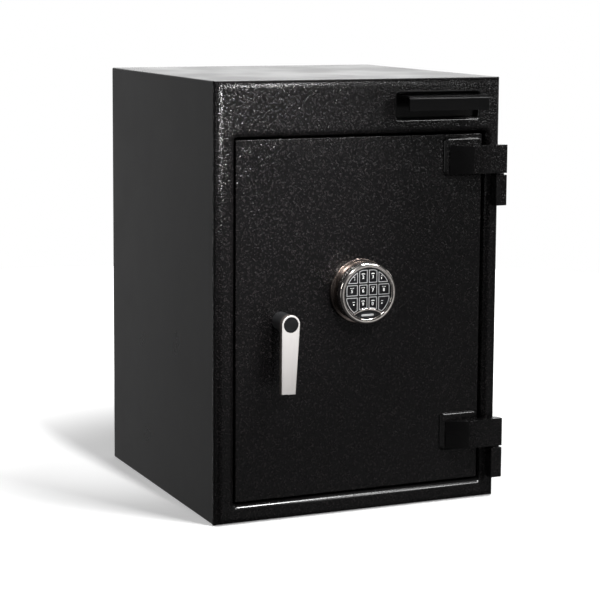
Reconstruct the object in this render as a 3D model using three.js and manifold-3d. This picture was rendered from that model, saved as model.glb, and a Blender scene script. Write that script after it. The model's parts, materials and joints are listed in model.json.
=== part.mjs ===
import * as THREE from 'three';
import { mergeVertices } from 'three/addons/utils/BufferGeometryUtils.js';
import Module from 'manifold-3d';

const wasm = await Module();
wasm.setup();

// Drop safe with a deposit drawer. Millimetres, +Z up. The origin is the centre of the
// base, and the front of the safe looks along -Y.

// Body
const bodyWidth = 508;
const bodyDepth = 508;
const bodyHeight = 711;
const shellWall = 5;
const backThickness = 6;
const anchorHoleRadius = 7;
const anchorInset = 110;

// Clearances shared by all pieces
const seatGap = 0.3;
const cutOverrun = 4;

// Front frame: the flat faces round the door opening and the rolled edge inside them
const frameThickness = 15;
const frameEdgeRadius = 13;
const leftJambFace = 22;
const rightJambFace = 17;
const sillFace = 21;
const headerFace = 78.5;
const rollRadius = 11;
const openingCornerRadius = 5;
const jambWall = 5;
const jambDepth = 36;

// Door
const doorGapLeft = 2;
const doorGapRight = 5;
const doorGapBottom = 4;
const doorGapTop = 3.5;
const doorRecess = 4.5;
const doorThickness = 12;
const doorEdgeBreak = 0.8;

// Hinges: a strap on the door turns on a pin that stands in a knuckle on the frame
const strapProud = 18;
const strapClearance = 0.8;
const strapOverhang = 2.7;
const strapHeight = 47;
const strapFaceLength = 62.7;
const strapBevelLength = 36.5;
const strapTipThickness = 7;
const strapCap = 9;
const topStrapDrop = 18;
const bottomStrapRise = 55.5;
const pinInset = 6.7;
const pinRadius = 5;
const pinClearance = 0.3;
const pinEndClearance = 1;
const padBorder = 9;
const padAbove = 13.5;
const padBelow = 4;
const padThickness = 5;
const padEdgeRadius = 5;
const padCornerRadius = 8;
const padInset = 2;
const knuckleWidth = 20;
const knuckleHeight = 51;
const knuckleFloor = 7;
const knuckleGap = 3;
const bossWall = 2.5;
const bossGap = 0.6;

// Deposit recess and drawer
const recessWidth = 150.5;
const recessHeight = 41;
const recessFromRight = 42.8;
const recessFromTop = 24.4;
const recessCornerRadius = 3;
const recessEdgeRadius = 4.5;
const drawerClearance = 1.6;
const drawerFrontSetback = 13;
const drawerTravel = 150;
const pullSheet = 3;
const pullWidth = 145.5;
const pullReach = 53;
const pullHeight = 24;
const pullBendRadius = 5;
const pullTopGap = 2.4;
const traySheet = 2;
const trayLength = 187;
const trayHeight = 29.5;
const trayFloorGap = 3.5;
const trayLipDrop = 6;
const trayLipClearance = 7.9;
const chuteSheet = 2;
const chuteTail = 27;
const chuteSideClearance = 1;
const chuteFlange = 8;
const chuteOpeningMargin = 1;
const ledgeWidth = 10;
const ledgeSetback = 3;
const stopBarDepth = 6;
const stopBarHeight = 4;
const stopClearance = 0.6;

// One-way flap over the drawer
const flapSetback = 37;
const flapPinToTray = 3.5;
const flapHeadClearance = 2.7;
const flapPinRadius = 2;
const flapBarrelRadius = 3.8;
const flapSheet = 2;
const flapTipClearance = 4;
const flapSideClearance = 4.9;
const flapToothCount = 10;
const flapToothDepth = 8;
const flapPinOverhang = 2;

// Door lining and boltwork, measured from the door's front face and left edge
const coverToGuide = 2;
const coverRight = 16;
const coverMargin = 16;
const coverSheet = 1.5;
const coverToCarriage = 4.3;
const coverHoleMargin = 1.5;
const guideLeft = 8;
const guideThickness = 6;
const guidePastBolt = 7.8;
const guideMargin = 26;
const guideClearance = 0.3;
const boltRadius = 11;
const boltChamfer = 2;
const boltToJamb = 2;
const boltSpacing = 170;
const boltTipInset = 5;
const boltThrow = 22;
const boltTailRadius = 5;
const boltTailOverrun = 5;
const carriageLeft = 42;
const carriageThickness = 8;
const carriageWidth = 34;
const carriageMargin = 27;
const deadBarWebThickness = 6;
const deadBarOverlap = 2.6;
const deadBarThickness = 12;
const deadBarToJamb = 4.1;
const deadBarMargin = 46;

// Handle, on an axis that crosses the door
const handleFromLeft = 77;
const hubRadius = 14.8;
const hubLength = 34;
const leverHeadRadius = 15.5;
const leverLength = 112;
const leverTipWidth = 24;
const leverThickness = 10;
const leverEdgeBreak = 0.8;
const leverLeanDegrees = 1.8;
const leverRim = 3.1;
const capDepth = 1.5;
const spindleRadius = 6;
const spindleSeat = 4;
const bushWall = 3;
const bushFlangeRadius = 13;
const bushFlangeThickness = 3;
const camRadius = 21;
const camThickness = 5;
const camSetback = 11.5;
const camPinRadius = 4;
const camPinOverrun = 2;
const camPinClearance = 0.8;
const drivePlateThickness = 4;
const drivePlateSetback = 2;
const drivePlateBorder = 10;
const spindleEndOverrun = 1;

// Lock behind the keypad
const hardPlateSize = 130;
const hardPlateThickness = 5;
const lockWidth = 60;
const lockHeight = 85;
const lockDepth = 29;
const lockBelowKeypad = 40;
const lockBoltWidth = 12;
const lockBoltDepth = 19;
const lockBoltLength = 22;
const lockBoltThrow = 12;
const lockBoltFrontInset = 4.8;
const armHeight = 14;
const tabWidth = 6;
const tabClearance = 2;
const armToBoltGap = 4;
const tabToCaseGap = 3;
const cableRadius = 2.5;
const cableHoleRadius = 4;

// Keypad
const keypadFromLeft = 215.3;
const keypadAboveHandle = 41.4;
const keypadProud = 39;
const bezelRadius = 50;
const bezelWidth = 8.3;
const bezelLength = 12;
const bezelEdge = 2.4;
const baseFootStep = 5;
const baseFootHeight = 8;
const bezelOverhang = 2.2;
const baseWall = 2.5;
const faceSetback = 4;
const faceThickness = 2;
const keyProud = 1.6;
const keyThickness = 4;
const keyTravel = 1.2;
const keyToBoard = 1.1;
const keyClearance = 0.35;
const keyColumnEdge = 17.3;
const keyRowUpper = 15.7;
const keyRowLower = -4.6;
const keyGap = 2.6;
const keyFieldMargin = 2.1;
const archDrop = 27.9;
const archRadius = 45;
const archWidth = 3;
const archThickness = 1.1;
const archToKeys = 0.9;
const windowDrop = 35.5;
const windowHalfWidth = 17;
const windowHalfHeight = 4.5;
const windowProud = 0.5;
const boardThickness = 1.6;
const batteryWidth = 48;
const batteryHeight = 26;
const batteryClearance = 0.6;
const batteryDrop = 20.5;

// Facets of round shapes, by their size
const fineFacets = 48;
const roundFacets = 24;
const smallFacets = 16;
const edgeFacets = 3;

// Places worked out from the sizes above
const frontY = -bodyDepth / 2;
const leftX = -bodyWidth / 2;
const rightX = bodyWidth / 2;
const openingLeft = leftX + leftJambFace + rollRadius;
const openingRight = rightX - rightJambFace - rollRadius;
const openingBottom = sillFace + rollRadius;
const openingTop = bodyHeight - headerFace - rollRadius;
const doorLeft = openingLeft + doorGapLeft;
const doorBottom = openingBottom + doorGapBottom;
const doorWidth = openingRight - doorGapRight - doorLeft;
const doorHeight = openingTop - doorGapTop - doorBottom;
const doorFrontY = frontY + doorRecess;
const lining = doorThickness + seatGap;
const handleFromBottom = doorHeight / 2;
const keypadFromBottom = handleFromBottom + keypadAboveHandle;
const topStrapBase = doorBottom + doorHeight - topStrapDrop - strapHeight;
const bottomStrapBase = doorBottom + bottomStrapRise;
const pinDepthInStrap = strapHeight - strapCap;
const pinDepthInKnuckle = knuckleHeight - knuckleFloor;
const jambBack = jambDepth - doorRecess;
const boltAxisDepth = jambBack + boltToJamb + boltRadius;
const coverLeft = guideLeft + guideThickness + coverToGuide;
const coverBack = boltAxisDepth + carriageWidth / 2 + coverToCarriage + coverSheet;
const deadBarSetback = jambBack + deadBarToJamb;
const capRadius = leverHeadRadius - leverRim;
const baseRadius = bezelRadius - bezelOverhang;
const baseFootRadius = baseRadius + baseFootStep;
const bezelInnerRadius = bezelRadius - bezelWidth;
const keyFieldRadius = bezelInnerRadius - keyFieldMargin;
const archCentre = -archDrop - archRadius;

const paint = { color: 0x16161a, roughness: 0.42, metalness: 0.0 };
const sidePaint = { color: 0x222226, roughness: 0.3, metalness: 0.0 };
const zincSteel = { color: 0x9aa0a4, roughness: 0.38, metalness: 0.9 };
const plainSteel = { color: 0x7d8084, roughness: 0.35, metalness: 0.95 };
const hardSteel = { color: 0x55585c, roughness: 0.45, metalness: 0.9 };
const chrome = { color: 0xcfcac6, roughness: 0.12, metalness: 1.0 };
const satinSteel = { color: 0xc9c5c4, roughness: 0.32, metalness: 1.0 };
const blackPlastic = { color: 0x0c0c0e, roughness: 0.4, metalness: 0.0 };
const greyPlastic = { color: 0x2f2f33, roughness: 0.45, metalness: 0.0 };
const boardGreen = { color: 0x1d4a2c, roughness: 0.5, metalness: 0.0 };

// A closed geometry becomes a solid that can be joined and cut, with its faces outward.
function solidOf(geometry) {
  const bare = geometry.clone();
  bare.deleteAttribute('normal');
  bare.deleteAttribute('uv');
  const merged = mergeVertices(bare);
  const points = new Float32Array(merged.attributes.position.array);
  const corners = new Uint32Array(merged.index.array);
  if (signedVolume(points, corners) < 0) {
    for (let i = 0; i < corners.length; i += 3) {
      [corners[i], corners[i + 1]] = [corners[i + 1], corners[i]];
    }
  }
  return new wasm.Manifold(new wasm.Mesh({
    numProp: 3, vertProperties: points, triVerts: corners,
  }));
}

function signedVolume(points, corners) {
  const a = new THREE.Vector3();
  const b = new THREE.Vector3();
  const c = new THREE.Vector3();
  let total = 0;
  for (let i = 0; i < corners.length; i += 3) {
    a.fromArray(points, corners[i] * 3);
    b.fromArray(points, corners[i + 1] * 3);
    c.fromArray(points, corners[i + 2] * 3);
    total += a.dot(b.cross(c));
  }
  return total;
}

function joined(...solids) {
  return solids.reduce((whole, next) => whole.add(next));
}

function cut(solid, ...tools) {
  return tools.reduce((rest, tool) => rest.subtract(tool), solid);
}

// A box between two corners.
function box([x0, y0, z0], [x1, y1, z1]) {
  const geometry = new THREE.BoxGeometry(x1 - x0, y1 - y0, z1 - z0);
  geometry.translate((x0 + x1) / 2, (y0 + y1) / 2, (z0 + z1) / 2);
  return solidOf(geometry);
}

// Shapes drawn in plan (x, y) and raised from z0 to z1.
function raised(shape, z0, z1) {
  const geometry = new THREE.ExtrudeGeometry(shape, {
    depth: z1 - z0, bevelEnabled: false, curveSegments: smallFacets / 2,
  });
  geometry.translate(0, 0, z0);
  return solidOf(geometry);
}

// Shapes drawn as seen from the front (x, z) and run back from y0 to y1. Both ends take
// a quarter-round edge: a positive round is convex, and a negative one flares outward.
function runBack(shape, y0, y1, round = 0) {
  const size = Math.abs(round);
  const geometry = new THREE.ExtrudeGeometry(shape, {
    depth: y1 - y0 - 2 * size,
    bevelEnabled: size > 0,
    bevelThickness: size,
    bevelSize: round,
    bevelOffset: -round,
    bevelSegments: edgeFacets,
    curveSegments: smallFacets / 2,
  });
  geometry.rotateX(Math.PI / 2);
  geometry.translate(0, y1 - size, 0);
  return solidOf(geometry);
}

// The same, with only the front edge rounded.
function runBackRounded(shape, y0, y1, round) {
  const full = runBack(shape, y0, y1 + 2 * round, round);
  const reach = bodyWidth + bodyHeight;
  return cut(full, box([-reach, y1, -reach], [reach, y1 + reach, reach]));
}

// Shapes drawn as seen from the side (y, z) and run across from x0 to x1.
function runAcross(shape, x0, x1) {
  const geometry = new THREE.ExtrudeGeometry(shape, {
    depth: x1 - x0, bevelEnabled: false, curveSegments: smallFacets / 4,
  });
  const turn = new THREE.Matrix4().makeBasis(
    new THREE.Vector3(0, 1, 0), new THREE.Vector3(0, 0, 1), new THREE.Vector3(1, 0, 0),
  );
  geometry.applyMatrix4(turn);
  geometry.translate(x0, 0, 0);
  return solidOf(geometry);
}

// Round bars along each axis. The centre holds the two places across the bar.
function barZ([x, y], radius, z0, z1, facets = smallFacets) {
  const geometry = new THREE.CylinderGeometry(radius, radius, z1 - z0, facets);
  geometry.rotateX(Math.PI / 2);
  geometry.translate(x, y, (z0 + z1) / 2);
  return solidOf(geometry);
}

function barY([x, z], radius, y0, y1, facets = smallFacets) {
  const geometry = new THREE.CylinderGeometry(radius, radius, y1 - y0, facets);
  geometry.translate(x, (y0 + y1) / 2, z);
  return solidOf(geometry);
}

function barX([y, z], radius, x0, x1, facets = smallFacets) {
  const geometry = new THREE.CylinderGeometry(radius, radius, x1 - x0, facets);
  geometry.rotateZ(Math.PI / 2);
  geometry.translate((x0 + x1) / 2, y, z);
  return solidOf(geometry);
}

// A profile of (radius, y) points turned about the Y axis.
function turned(profile, facets = fineFacets) {
  const points = profile.map(([radius, y]) => new THREE.Vector2(radius, y));
  return solidOf(new THREE.LatheGeometry(points, facets));
}

function rectangle(x0, z0, x1, z1, radius = 0) {
  const shape = new THREE.Shape();
  if (radius === 0) {
    shape.moveTo(x0, z0);
    shape.lineTo(x1, z0);
    shape.lineTo(x1, z1);
    shape.lineTo(x0, z1);
    shape.closePath();
    return shape;
  }
  const quarter = Math.PI / 2;
  shape.absarc(x1 - radius, z0 + radius, radius, -quarter, 0);
  shape.absarc(x1 - radius, z1 - radius, radius, 0, quarter);
  shape.absarc(x0 + radius, z1 - radius, radius, quarter, 2 * quarter);
  shape.absarc(x0 + radius, z0 + radius, radius, 2 * quarter, 3 * quarter);
  shape.closePath();
  return shape;
}

function polygon(points) {
  return new THREE.Shape(points.map(([a, b]) => new THREE.Vector2(a, b)));
}

function mesh(name, solid, finish) {
  const { vertProperties, triVerts } = solid.getMesh();
  const geometry = new THREE.BufferGeometry();
  geometry.setAttribute('position', new THREE.BufferAttribute(vertProperties, 3));
  geometry.setIndex(new THREE.BufferAttribute(triVerts, 1));
  geometry.computeVertexNormals();
  const item = new THREE.Mesh(geometry, new THREE.MeshStandardMaterial(finish));
  item.name = name;
  return item;
}

function groupAt([x, y, z], ...items) {
  const group = new THREE.Group();
  group.position.set(x, y, z);
  group.add(...items);
  return group;
}

// Welded body: the bent shell, the back and the front frame

function bodyShell() {
  const section = rectangle(leftX, 0, rightX, bodyHeight);
  section.holes.push(rectangle(
    leftX + shellWall, shellWall, rightX - shellWall, bodyHeight - shellWall,
  ));
  const front = frontY + frameThickness + seatGap;
  const back = bodyDepth / 2 - backThickness - seatGap;
  const anchorX = rightX - anchorInset;
  const anchorY = bodyDepth / 2 - anchorInset;
  const holes = [[-1, -1], [1, -1], [-1, 1], [1, 1]].map(([sideX, sideY]) => barZ(
    [sideX * anchorX, sideY * anchorY], anchorHoleRadius, -cutOverrun, shellWall + cutOverrun,
  ));
  return cut(runBack(section, front, back), ...holes);
}

function backPlate() {
  const back = bodyDepth / 2;
  return box([leftX, back - backThickness, 0], [rightX, back, bodyHeight]);
}

function frontFrame() {
  const face = rectangle(leftX, 0, rightX, bodyHeight);
  const plate = runBackRounded(face, frontY, frontY + frameThickness, frameEdgeRadius);
  const jambs = box(
    [openingLeft - jambWall, frontY + rollRadius - jambWall, openingBottom - jambWall],
    [openingRight + jambWall, frontY + jambDepth, openingTop + jambWall],
  );
  const opening = rectangle(
    openingLeft, openingBottom, openingRight, openingTop, openingCornerRadius,
  );
  const doorway = runBack(
    opening, frontY, frontY + jambDepth + rollRadius + cutOverrun, -rollRadius,
  );
  const slot = rectangle(
    recessLeft, recessBottom, recessLeft + recessWidth, recessBottom + recessHeight,
    recessCornerRadius,
  );
  const recess = runBack(
    slot, frontY, frontY + frameThickness + recessEdgeRadius + cutOverrun, -recessEdgeRadius,
  );
  return cut(joined(plate, jambs), doorway, recess);
}

// Deposit drawer, in a group whose origin is the middle of the recess's lower edge,
// in the plane of the frame's front face

const recessLeft = rightX - recessFromRight - recessWidth;
const recessBottom = bodyHeight - recessFromTop - recessHeight;
const drawerOrigin = [recessLeft + recessWidth / 2, frontY, recessBottom];
const trayHalf = recessWidth / 2 - drawerClearance;
const trayFront = drawerFrontSetback + pullSheet + seatGap;
const trayBack = trayFront + trayLength;
const trayFloorTop = trayFloorGap + traySheet;
const chuteHalf = trayHalf + chuteSideClearance;
const chuteFront = frameThickness + seatGap;
const chuteBack = trayBack + chuteTail;
const flapAxisHeight = trayFloorGap + trayHeight + flapPinToTray + flapPinRadius;
const flapWidth = 2 * (trayHalf - traySheet - flapSideClearance);
const chuteHeadroom = flapAxisHeight + flapBarrelRadius + flapHeadClearance;
const ledgeTop = trayFloorGap - seatGap;

function drawerPull() {
  const back = drawerFrontSetback + pullSheet;
  const front = drawerFrontSetback - pullReach;
  const top = recessHeight - pullTopGap;
  const inner = pullBendRadius - pullSheet;
  const bend = front + pullBendRadius;
  const hook = new THREE.Shape();
  hook.moveTo(back - pullSheet / 2, top);
  hook.lineTo(back - pullSheet / 2, top - pullSheet);
  hook.lineTo(bend, top - pullSheet);
  hook.absarc(bend, top - pullBendRadius, inner, Math.PI / 2, Math.PI);
  hook.lineTo(front + pullSheet, top - pullHeight);
  hook.lineTo(front, top - pullHeight);
  hook.absarc(bend, top - pullBendRadius, pullBendRadius, Math.PI, Math.PI / 2, true);
  hook.closePath();
  const wall = box(
    [-trayHalf, drawerFrontSetback, drawerClearance],
    [trayHalf, back, recessHeight - drawerClearance],
  );
  return joined(wall, runAcross(hook, -pullWidth / 2, pullWidth / 2));
}

function drawerTray() {
  const outer = box(
    [-trayHalf, trayFront, trayFloorGap],
    [trayHalf, trayBack, trayFloorGap + trayHeight],
  );
  const inside = box(
    [-trayHalf + traySheet, trayFront - cutOverrun, trayFloorTop],
    [trayHalf - traySheet, trayBack + cutOverrun, trayFloorGap + trayHeight + cutOverrun],
  );
  const lipHalf = chuteHalf - ledgeWidth - trayLipClearance;
  const lip = box(
    [-lipHalf, trayBack - traySheet, trayFloorTop - trayLipDrop],
    [lipHalf, trayBack, trayFloorTop],
  );
  return joined(cut(outer, inside), lip);
}

function depositChute() {
  const outer = chuteHalf + chuteSheet;
  const top = chuteHeadroom + chuteSheet;
  const ledgeBottom = ledgeTop - chuteSheet;
  const casing = box([-outer, chuteFront, ledgeBottom], [outer, chuteBack, top]);
  const inside = box(
    [-chuteHalf, chuteFront - cutOverrun, ledgeTop],
    [chuteHalf, chuteBack + cutOverrun, chuteHeadroom],
  );
  const drop = box(
    [ledgeWidth - chuteHalf, chuteFront - cutOverrun, ledgeBottom - cutOverrun],
    [chuteHalf - ledgeWidth, chuteBack + cutOverrun, ledgeTop + cutOverrun],
  );
  const ledgeEnds = box(
    [-chuteHalf, chuteFront - cutOverrun, ledgeBottom - cutOverrun],
    [chuteHalf, chuteFront + ledgeSetback, ledgeTop + cutOverrun],
  );
  const flange = box(
    [-outer - chuteFlange, chuteFront, ledgeBottom - chuteFlange],
    [outer + chuteFlange, chuteFront + chuteSheet, top + chuteFlange],
  );
  const mouth = box(
    [-recessWidth / 2 - chuteOpeningMargin, chuteFront - cutOverrun, -chuteOpeningMargin],
    [
      recessWidth / 2 + chuteOpeningMargin, chuteFront + chuteSheet + cutOverrun,
      recessHeight + chuteOpeningMargin,
    ],
  );
  const pinHoles = barX(
    [flapSetback, flapAxisHeight], flapPinRadius + seatGap,
    -outer - cutOverrun, outer + cutOverrun,
  );
  const walls = cut(casing, inside, drop, ledgeEnds, pinHoles);
  return joined(walls, cut(flange, mouth));
}

function drawerStop() {
  const back = trayBack - traySheet - drawerTravel - stopClearance;
  const top = ledgeTop - chuteSheet - seatGap;
  return box(
    [-chuteHalf - chuteSheet, back - stopBarDepth, top - stopBarHeight],
    [chuteHalf + chuteSheet, back, top],
  );
}

function flapPin() {
  const half = chuteHalf + chuteSheet + flapPinOverhang;
  return barX([flapSetback, flapAxisHeight], flapPinRadius, -half, half);
}

// The flap hangs in the tray and swings only inward, so a deposit can't be drawn back.
function stripperFlap() {
  const barrel = barX(
    [flapSetback, flapAxisHeight], flapBarrelRadius, -flapWidth / 2, flapWidth / 2,
  );
  const bore = barX(
    [flapSetback, flapAxisHeight], flapPinRadius + seatGap,
    -flapWidth / 2 - cutOverrun, flapWidth / 2 + cutOverrun,
  );
  const tip = trayFloorTop + flapTipClearance;
  const pitch = flapWidth / flapToothCount;
  const edge = [[-flapWidth / 2, flapAxisHeight]];
  for (let i = 0; i < flapToothCount; i += 1) {
    const start = -flapWidth / 2 + i * pitch;
    edge.push([start, tip + flapToothDepth]);
    edge.push([start + pitch / 2, tip]);
  }
  edge.push([flapWidth / 2, tip + flapToothDepth]);
  edge.push([flapWidth / 2, flapAxisHeight]);
  const sheet = runBack(
    polygon(edge), flapSetback - flapSheet / 2, flapSetback + flapSheet / 2,
  );
  return cut(joined(barrel, sheet), bore);
}

// Hinges, in a group whose origin lies on the pin's axis at the foot of the strap

const barrelRadius = (strapProud - strapClearance) / 2;
const hingeX = rightX - pinInset;
const hingeY = frontY - strapClearance - barrelRadius;
const strapEnd = pinInset + strapOverhang;
const doorFaceFromPin = doorFrontY - hingeY - seatGap;

function hingeStrap() {
  const step = doorLeft + doorWidth - padInset - hingeX;
  const faceStart = strapEnd - strapFaceLength;
  const tip = faceStart - strapBevelLength;
  const plan = new THREE.Shape();
  plan.moveTo(tip, doorFaceFromPin);
  plan.lineTo(tip, doorFaceFromPin - strapTipThickness);
  plan.lineTo(faceStart, -barrelRadius);
  plan.lineTo(strapEnd, -barrelRadius);
  plan.lineTo(strapEnd, 0);
  plan.lineTo(barrelRadius, 0);
  plan.absarc(0, 0, barrelRadius, 0, Math.PI / 2);
  plan.lineTo(step, barrelRadius);
  plan.lineTo(step, doorFaceFromPin);
  plan.closePath();
  const bar = raised(plan, 0, strapHeight);
  const pad = runBackRounded(
    rectangle(tip - padBorder, -padBelow, step, strapHeight + padAbove, padCornerRadius),
    doorFaceFromPin - padThickness, doorFaceFromPin, padEdgeRadius,
  );
  const bore = barZ([0, 0], pinRadius + pinClearance, -cutOverrun, pinDepthInStrap);
  return cut(joined(bar, pad), bore);
}

// The knuckle's back follows the frame's rounded outer edge, where it is welded on.
function hingeKnuckle() {
  const left = strapEnd - knuckleWidth;
  const edgeX = rightX - frameEdgeRadius - hingeX;
  const edgeY = frontY + frameEdgeRadius - hingeY;
  const fit = frameEdgeRadius + seatGap;
  const plan = new THREE.Shape();
  plan.moveTo(left, -barrelRadius);
  plan.lineTo(strapEnd, -barrelRadius);
  plan.lineTo(strapEnd, edgeY);
  plan.lineTo(edgeX + fit, edgeY);
  plan.absarc(edgeX, edgeY, fit, 0, -Math.PI / 2, true);
  plan.lineTo(left, edgeY - fit);
  plan.closePath();
  const block = raised(plan, -knuckleGap - knuckleHeight, -knuckleGap);
  const boss = barZ([0, 0], pinRadius + bossWall, -knuckleGap - seatGap, -bossGap);
  const bore = barZ(
    [0, 0], pinRadius + seatGap, -knuckleGap - pinDepthInKnuckle, cutOverrun,
  );
  return cut(joined(block, boss), bore);
}

function hingePin() {
  return barZ(
    [0, 0], pinRadius,
    -knuckleGap - pinDepthInKnuckle + seatGap, pinDepthInStrap - pinEndClearance,
  );
}

// Door, in a group whose origin is its lower left front corner

function doorPlate() {
  const slab = runBackRounded(
    rectangle(0, 0, doorWidth, doorHeight), 0, doorThickness, doorEdgeBreak,
  );
  const bushHole = barY(
    [handleFromLeft, handleFromBottom], spindleRadius + guideClearance + bushWall + seatGap,
    -cutOverrun, doorThickness + cutOverrun, roundFacets,
  );
  const cableHole = barY(
    [keypadFromLeft, keypadFromBottom], cableHoleRadius,
    -cutOverrun, doorThickness + cutOverrun,
  );
  return cut(slab, bushHole, cableHole);
}

const boltHeights = [-1, 0, 1].map((place) => handleFromBottom + place * boltSpacing);

function boltHoles(x0, x1, radius) {
  return boltHeights.map((height) => barX(
    [boltAxisDepth, height], radius, x0 - cutOverrun, x1 + cutOverrun, roundFacets,
  ));
}

function boltGuide() {
  const right = guideLeft + guideThickness;
  const plate = box(
    [guideLeft, lining, guideMargin],
    [right, boltAxisDepth + boltRadius + guidePastBolt, doorHeight - guideMargin],
  );
  return cut(plate, ...boltHoles(guideLeft, right, boltRadius + guideClearance));
}

function doorCover() {
  const right = doorWidth - coverRight;
  const top = doorHeight - coverMargin;
  const pan = box([coverLeft, lining, coverMargin], [right, coverBack, top]);
  const inside = box(
    [coverLeft + coverSheet, lining - cutOverrun, coverMargin + coverSheet],
    [right - coverSheet, coverBack - coverSheet, top - coverSheet],
  );
  const holes = boltHoles(
    coverLeft - cutOverrun, coverLeft + coverSheet, boltRadius + coverHoleMargin,
  );
  return cut(pan, inside, ...holes);
}

// The fixed bar on the hinge side, which stays behind the right jamb when the door is shut
function deadBar() {
  const left = doorWidth - coverRight + seatGap;
  const web = left + deadBarWebThickness;
  const right = doorWidth + doorGapRight + jambWall + deadBarOverlap;
  const back = deadBarSetback + deadBarThickness;
  const plan = polygon([
    [left, lining], [web, lining], [web, deadBarSetback], [right, deadBarSetback],
    [right, back], [left, back],
  ]);
  return raised(plan, deadBarMargin, doorHeight - deadBarMargin);
}

function hardPlate() {
  const half = hardPlateSize / 2;
  const plate = box(
    [keypadFromLeft - half, lining, keypadFromBottom - half],
    [keypadFromLeft + half, lining + hardPlateThickness, keypadFromBottom + half],
  );
  return cut(plate, barY(
    [keypadFromLeft, keypadFromBottom], cableHoleRadius,
    lining - cutOverrun, lining + hardPlateThickness + cutOverrun,
  ));
}

// Boltwork: bolts, the carriage that joins them and the lock that holds it

const cranePin = boltThrow / 2;
const camFront = doorThickness + camSetback;
const plateFront = camFront + camThickness + drivePlateSetback;
const plateBack = plateFront + drivePlateThickness;
const lockFront = lining + hardPlateThickness + seatGap;
const lockBottom = keypadFromBottom - lockBelowKeypad;
const lockBoltLeft = keypadFromLeft - lockBoltWidth / 2;

function lockingBolt(height) {
  const shoulder = carriageLeft - seatGap;
  const end = carriageLeft + carriageThickness + boltTailOverrun;
  const profile = [
    [0, boltTipInset], [boltRadius - boltChamfer, boltTipInset],
    [boltRadius, boltTipInset + boltChamfer], [boltRadius, shoulder],
    [boltTailRadius, shoulder], [boltTailRadius, end], [0, end],
  ];
  const points = profile.map(([radius, x]) => new THREE.Vector2(radius, x));
  const geometry = new THREE.LatheGeometry(points, roundFacets);
  geometry.rotateZ(-Math.PI / 2);
  geometry.translate(0, boltAxisDepth, height);
  return solidOf(geometry);
}

function boltCarriage() {
  const bar = box(
    [carriageLeft, boltAxisDepth - carriageWidth / 2, boltHeights[0] - carriageMargin],
    [
      carriageLeft + carriageThickness, boltAxisDepth + carriageWidth / 2,
      boltHeights[2] + carriageMargin,
    ],
  );
  const slotX = handleFromLeft + cranePin;
  const slotHalf = camPinRadius + camPinClearance;
  const slotTop = handleFromBottom - cranePin + slotHalf;
  const slotBottom = handleFromBottom - cranePin * Math.SQRT2 - slotHalf;
  const plate = box(
    [carriageLeft + seatGap, plateFront, slotBottom - drivePlateBorder],
    [slotX + slotHalf + drivePlateBorder, plateBack, slotTop + drivePlateBorder],
  );
  const tabLeft = lockBoltLeft + lockBoltWidth + tabClearance;
  const armTop = lockBottom - lockBoltThrow - armToBoltGap;
  const arm = box(
    [carriageLeft + seatGap, plateFront, armTop - armHeight],
    [tabLeft + tabWidth, plateBack, armTop],
  );
  const tab = box(
    [tabLeft, plateFront, armTop - armHeight],
    [tabLeft + tabWidth, plateBack, lockBottom - tabToCaseGap],
  );
  const slot = box(
    [slotX - slotHalf, plateFront - cutOverrun, slotBottom],
    [slotX + slotHalf, plateBack + cutOverrun, slotTop],
  );
  const tails = boltHoles(
    carriageLeft, carriageLeft + carriageThickness, boltTailRadius + seatGap,
  );
  return cut(joined(bar, plate, arm, tab), slot, ...tails);
}

function lockCase() {
  const half = lockWidth / 2;
  const body = box(
    [keypadFromLeft - half, lockFront, lockBottom],
    [keypadFromLeft + half, lockFront + lockDepth, lockBottom + lockHeight],
  );
  const front = lockFront + lockBoltFrontInset;
  const pocket = box(
    [lockBoltLeft - seatGap, front - seatGap, lockBottom - cutOverrun],
    [
      lockBoltLeft + lockBoltWidth + seatGap, front + lockBoltDepth + seatGap,
      lockBottom + lockBoltLength + seatGap,
    ],
  );
  return cut(body, pocket);
}

function lockBolt() {
  const front = lockFront + lockBoltFrontInset;
  return box(
    [lockBoltLeft, front, lockBottom],
    [lockBoltLeft + lockBoltWidth, front + lockBoltDepth, lockBottom + lockBoltLength],
  );
}

// Handle, in a group whose origin is its axis in the door's front face

const spindleHoleRadius = spindleRadius + seatGap;
const leverBack = -hubLength - seatGap;
const leverFront = leverBack - leverThickness;

function handleHub() {
  return cut(
    barY([0, 0], hubRadius, -hubLength, -seatGap, roundFacets),
    barY([0, 0], spindleHoleRadius, -hubLength - cutOverrun, cutOverrun),
  );
}

function lever() {
  const taper = Math.atan2(leverHeadRadius - leverTipWidth / 2, leverLength);
  const outline = new THREE.Shape();
  outline.absarc(0, 0, leverHeadRadius, -taper, Math.PI + taper);
  outline.lineTo(-leverTipWidth / 2, -leverLength);
  outline.lineTo(leverTipWidth / 2, -leverLength);
  outline.closePath();
  const blade = runBack(outline, leverFront, leverBack, leverEdgeBreak);
  const recess = barY(
    [0, 0], capRadius + seatGap, leverFront - cutOverrun, leverFront + capDepth, roundFacets,
  );
  const socket = barY(
    [0, 0], spindleHoleRadius, leverBack - spindleSeat - seatGap, leverBack + cutOverrun,
  );
  return cut(blade, recess, socket);
}

function leverCap() {
  return barY([0, 0], capRadius, leverFront + seatGap, leverFront + capDepth - seatGap, roundFacets);
}

function spindle() {
  const end = camFront + camThickness + spindleEndOverrun;
  return barY([0, 0], spindleRadius, leverBack - spindleSeat, end);
}

function driveCam() {
  const back = camFront + camThickness;
  const disc = barY([0, 0], camRadius, camFront, back, roundFacets);
  const pin = barY(
    [cranePin, -cranePin], camPinRadius, back - cutOverrun, plateBack + camPinOverrun,
  );
  const bore = barY([0, 0], spindleHoleRadius, camFront - cutOverrun, back + cutOverrun);
  return cut(joined(disc, pin), bore);
}

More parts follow.
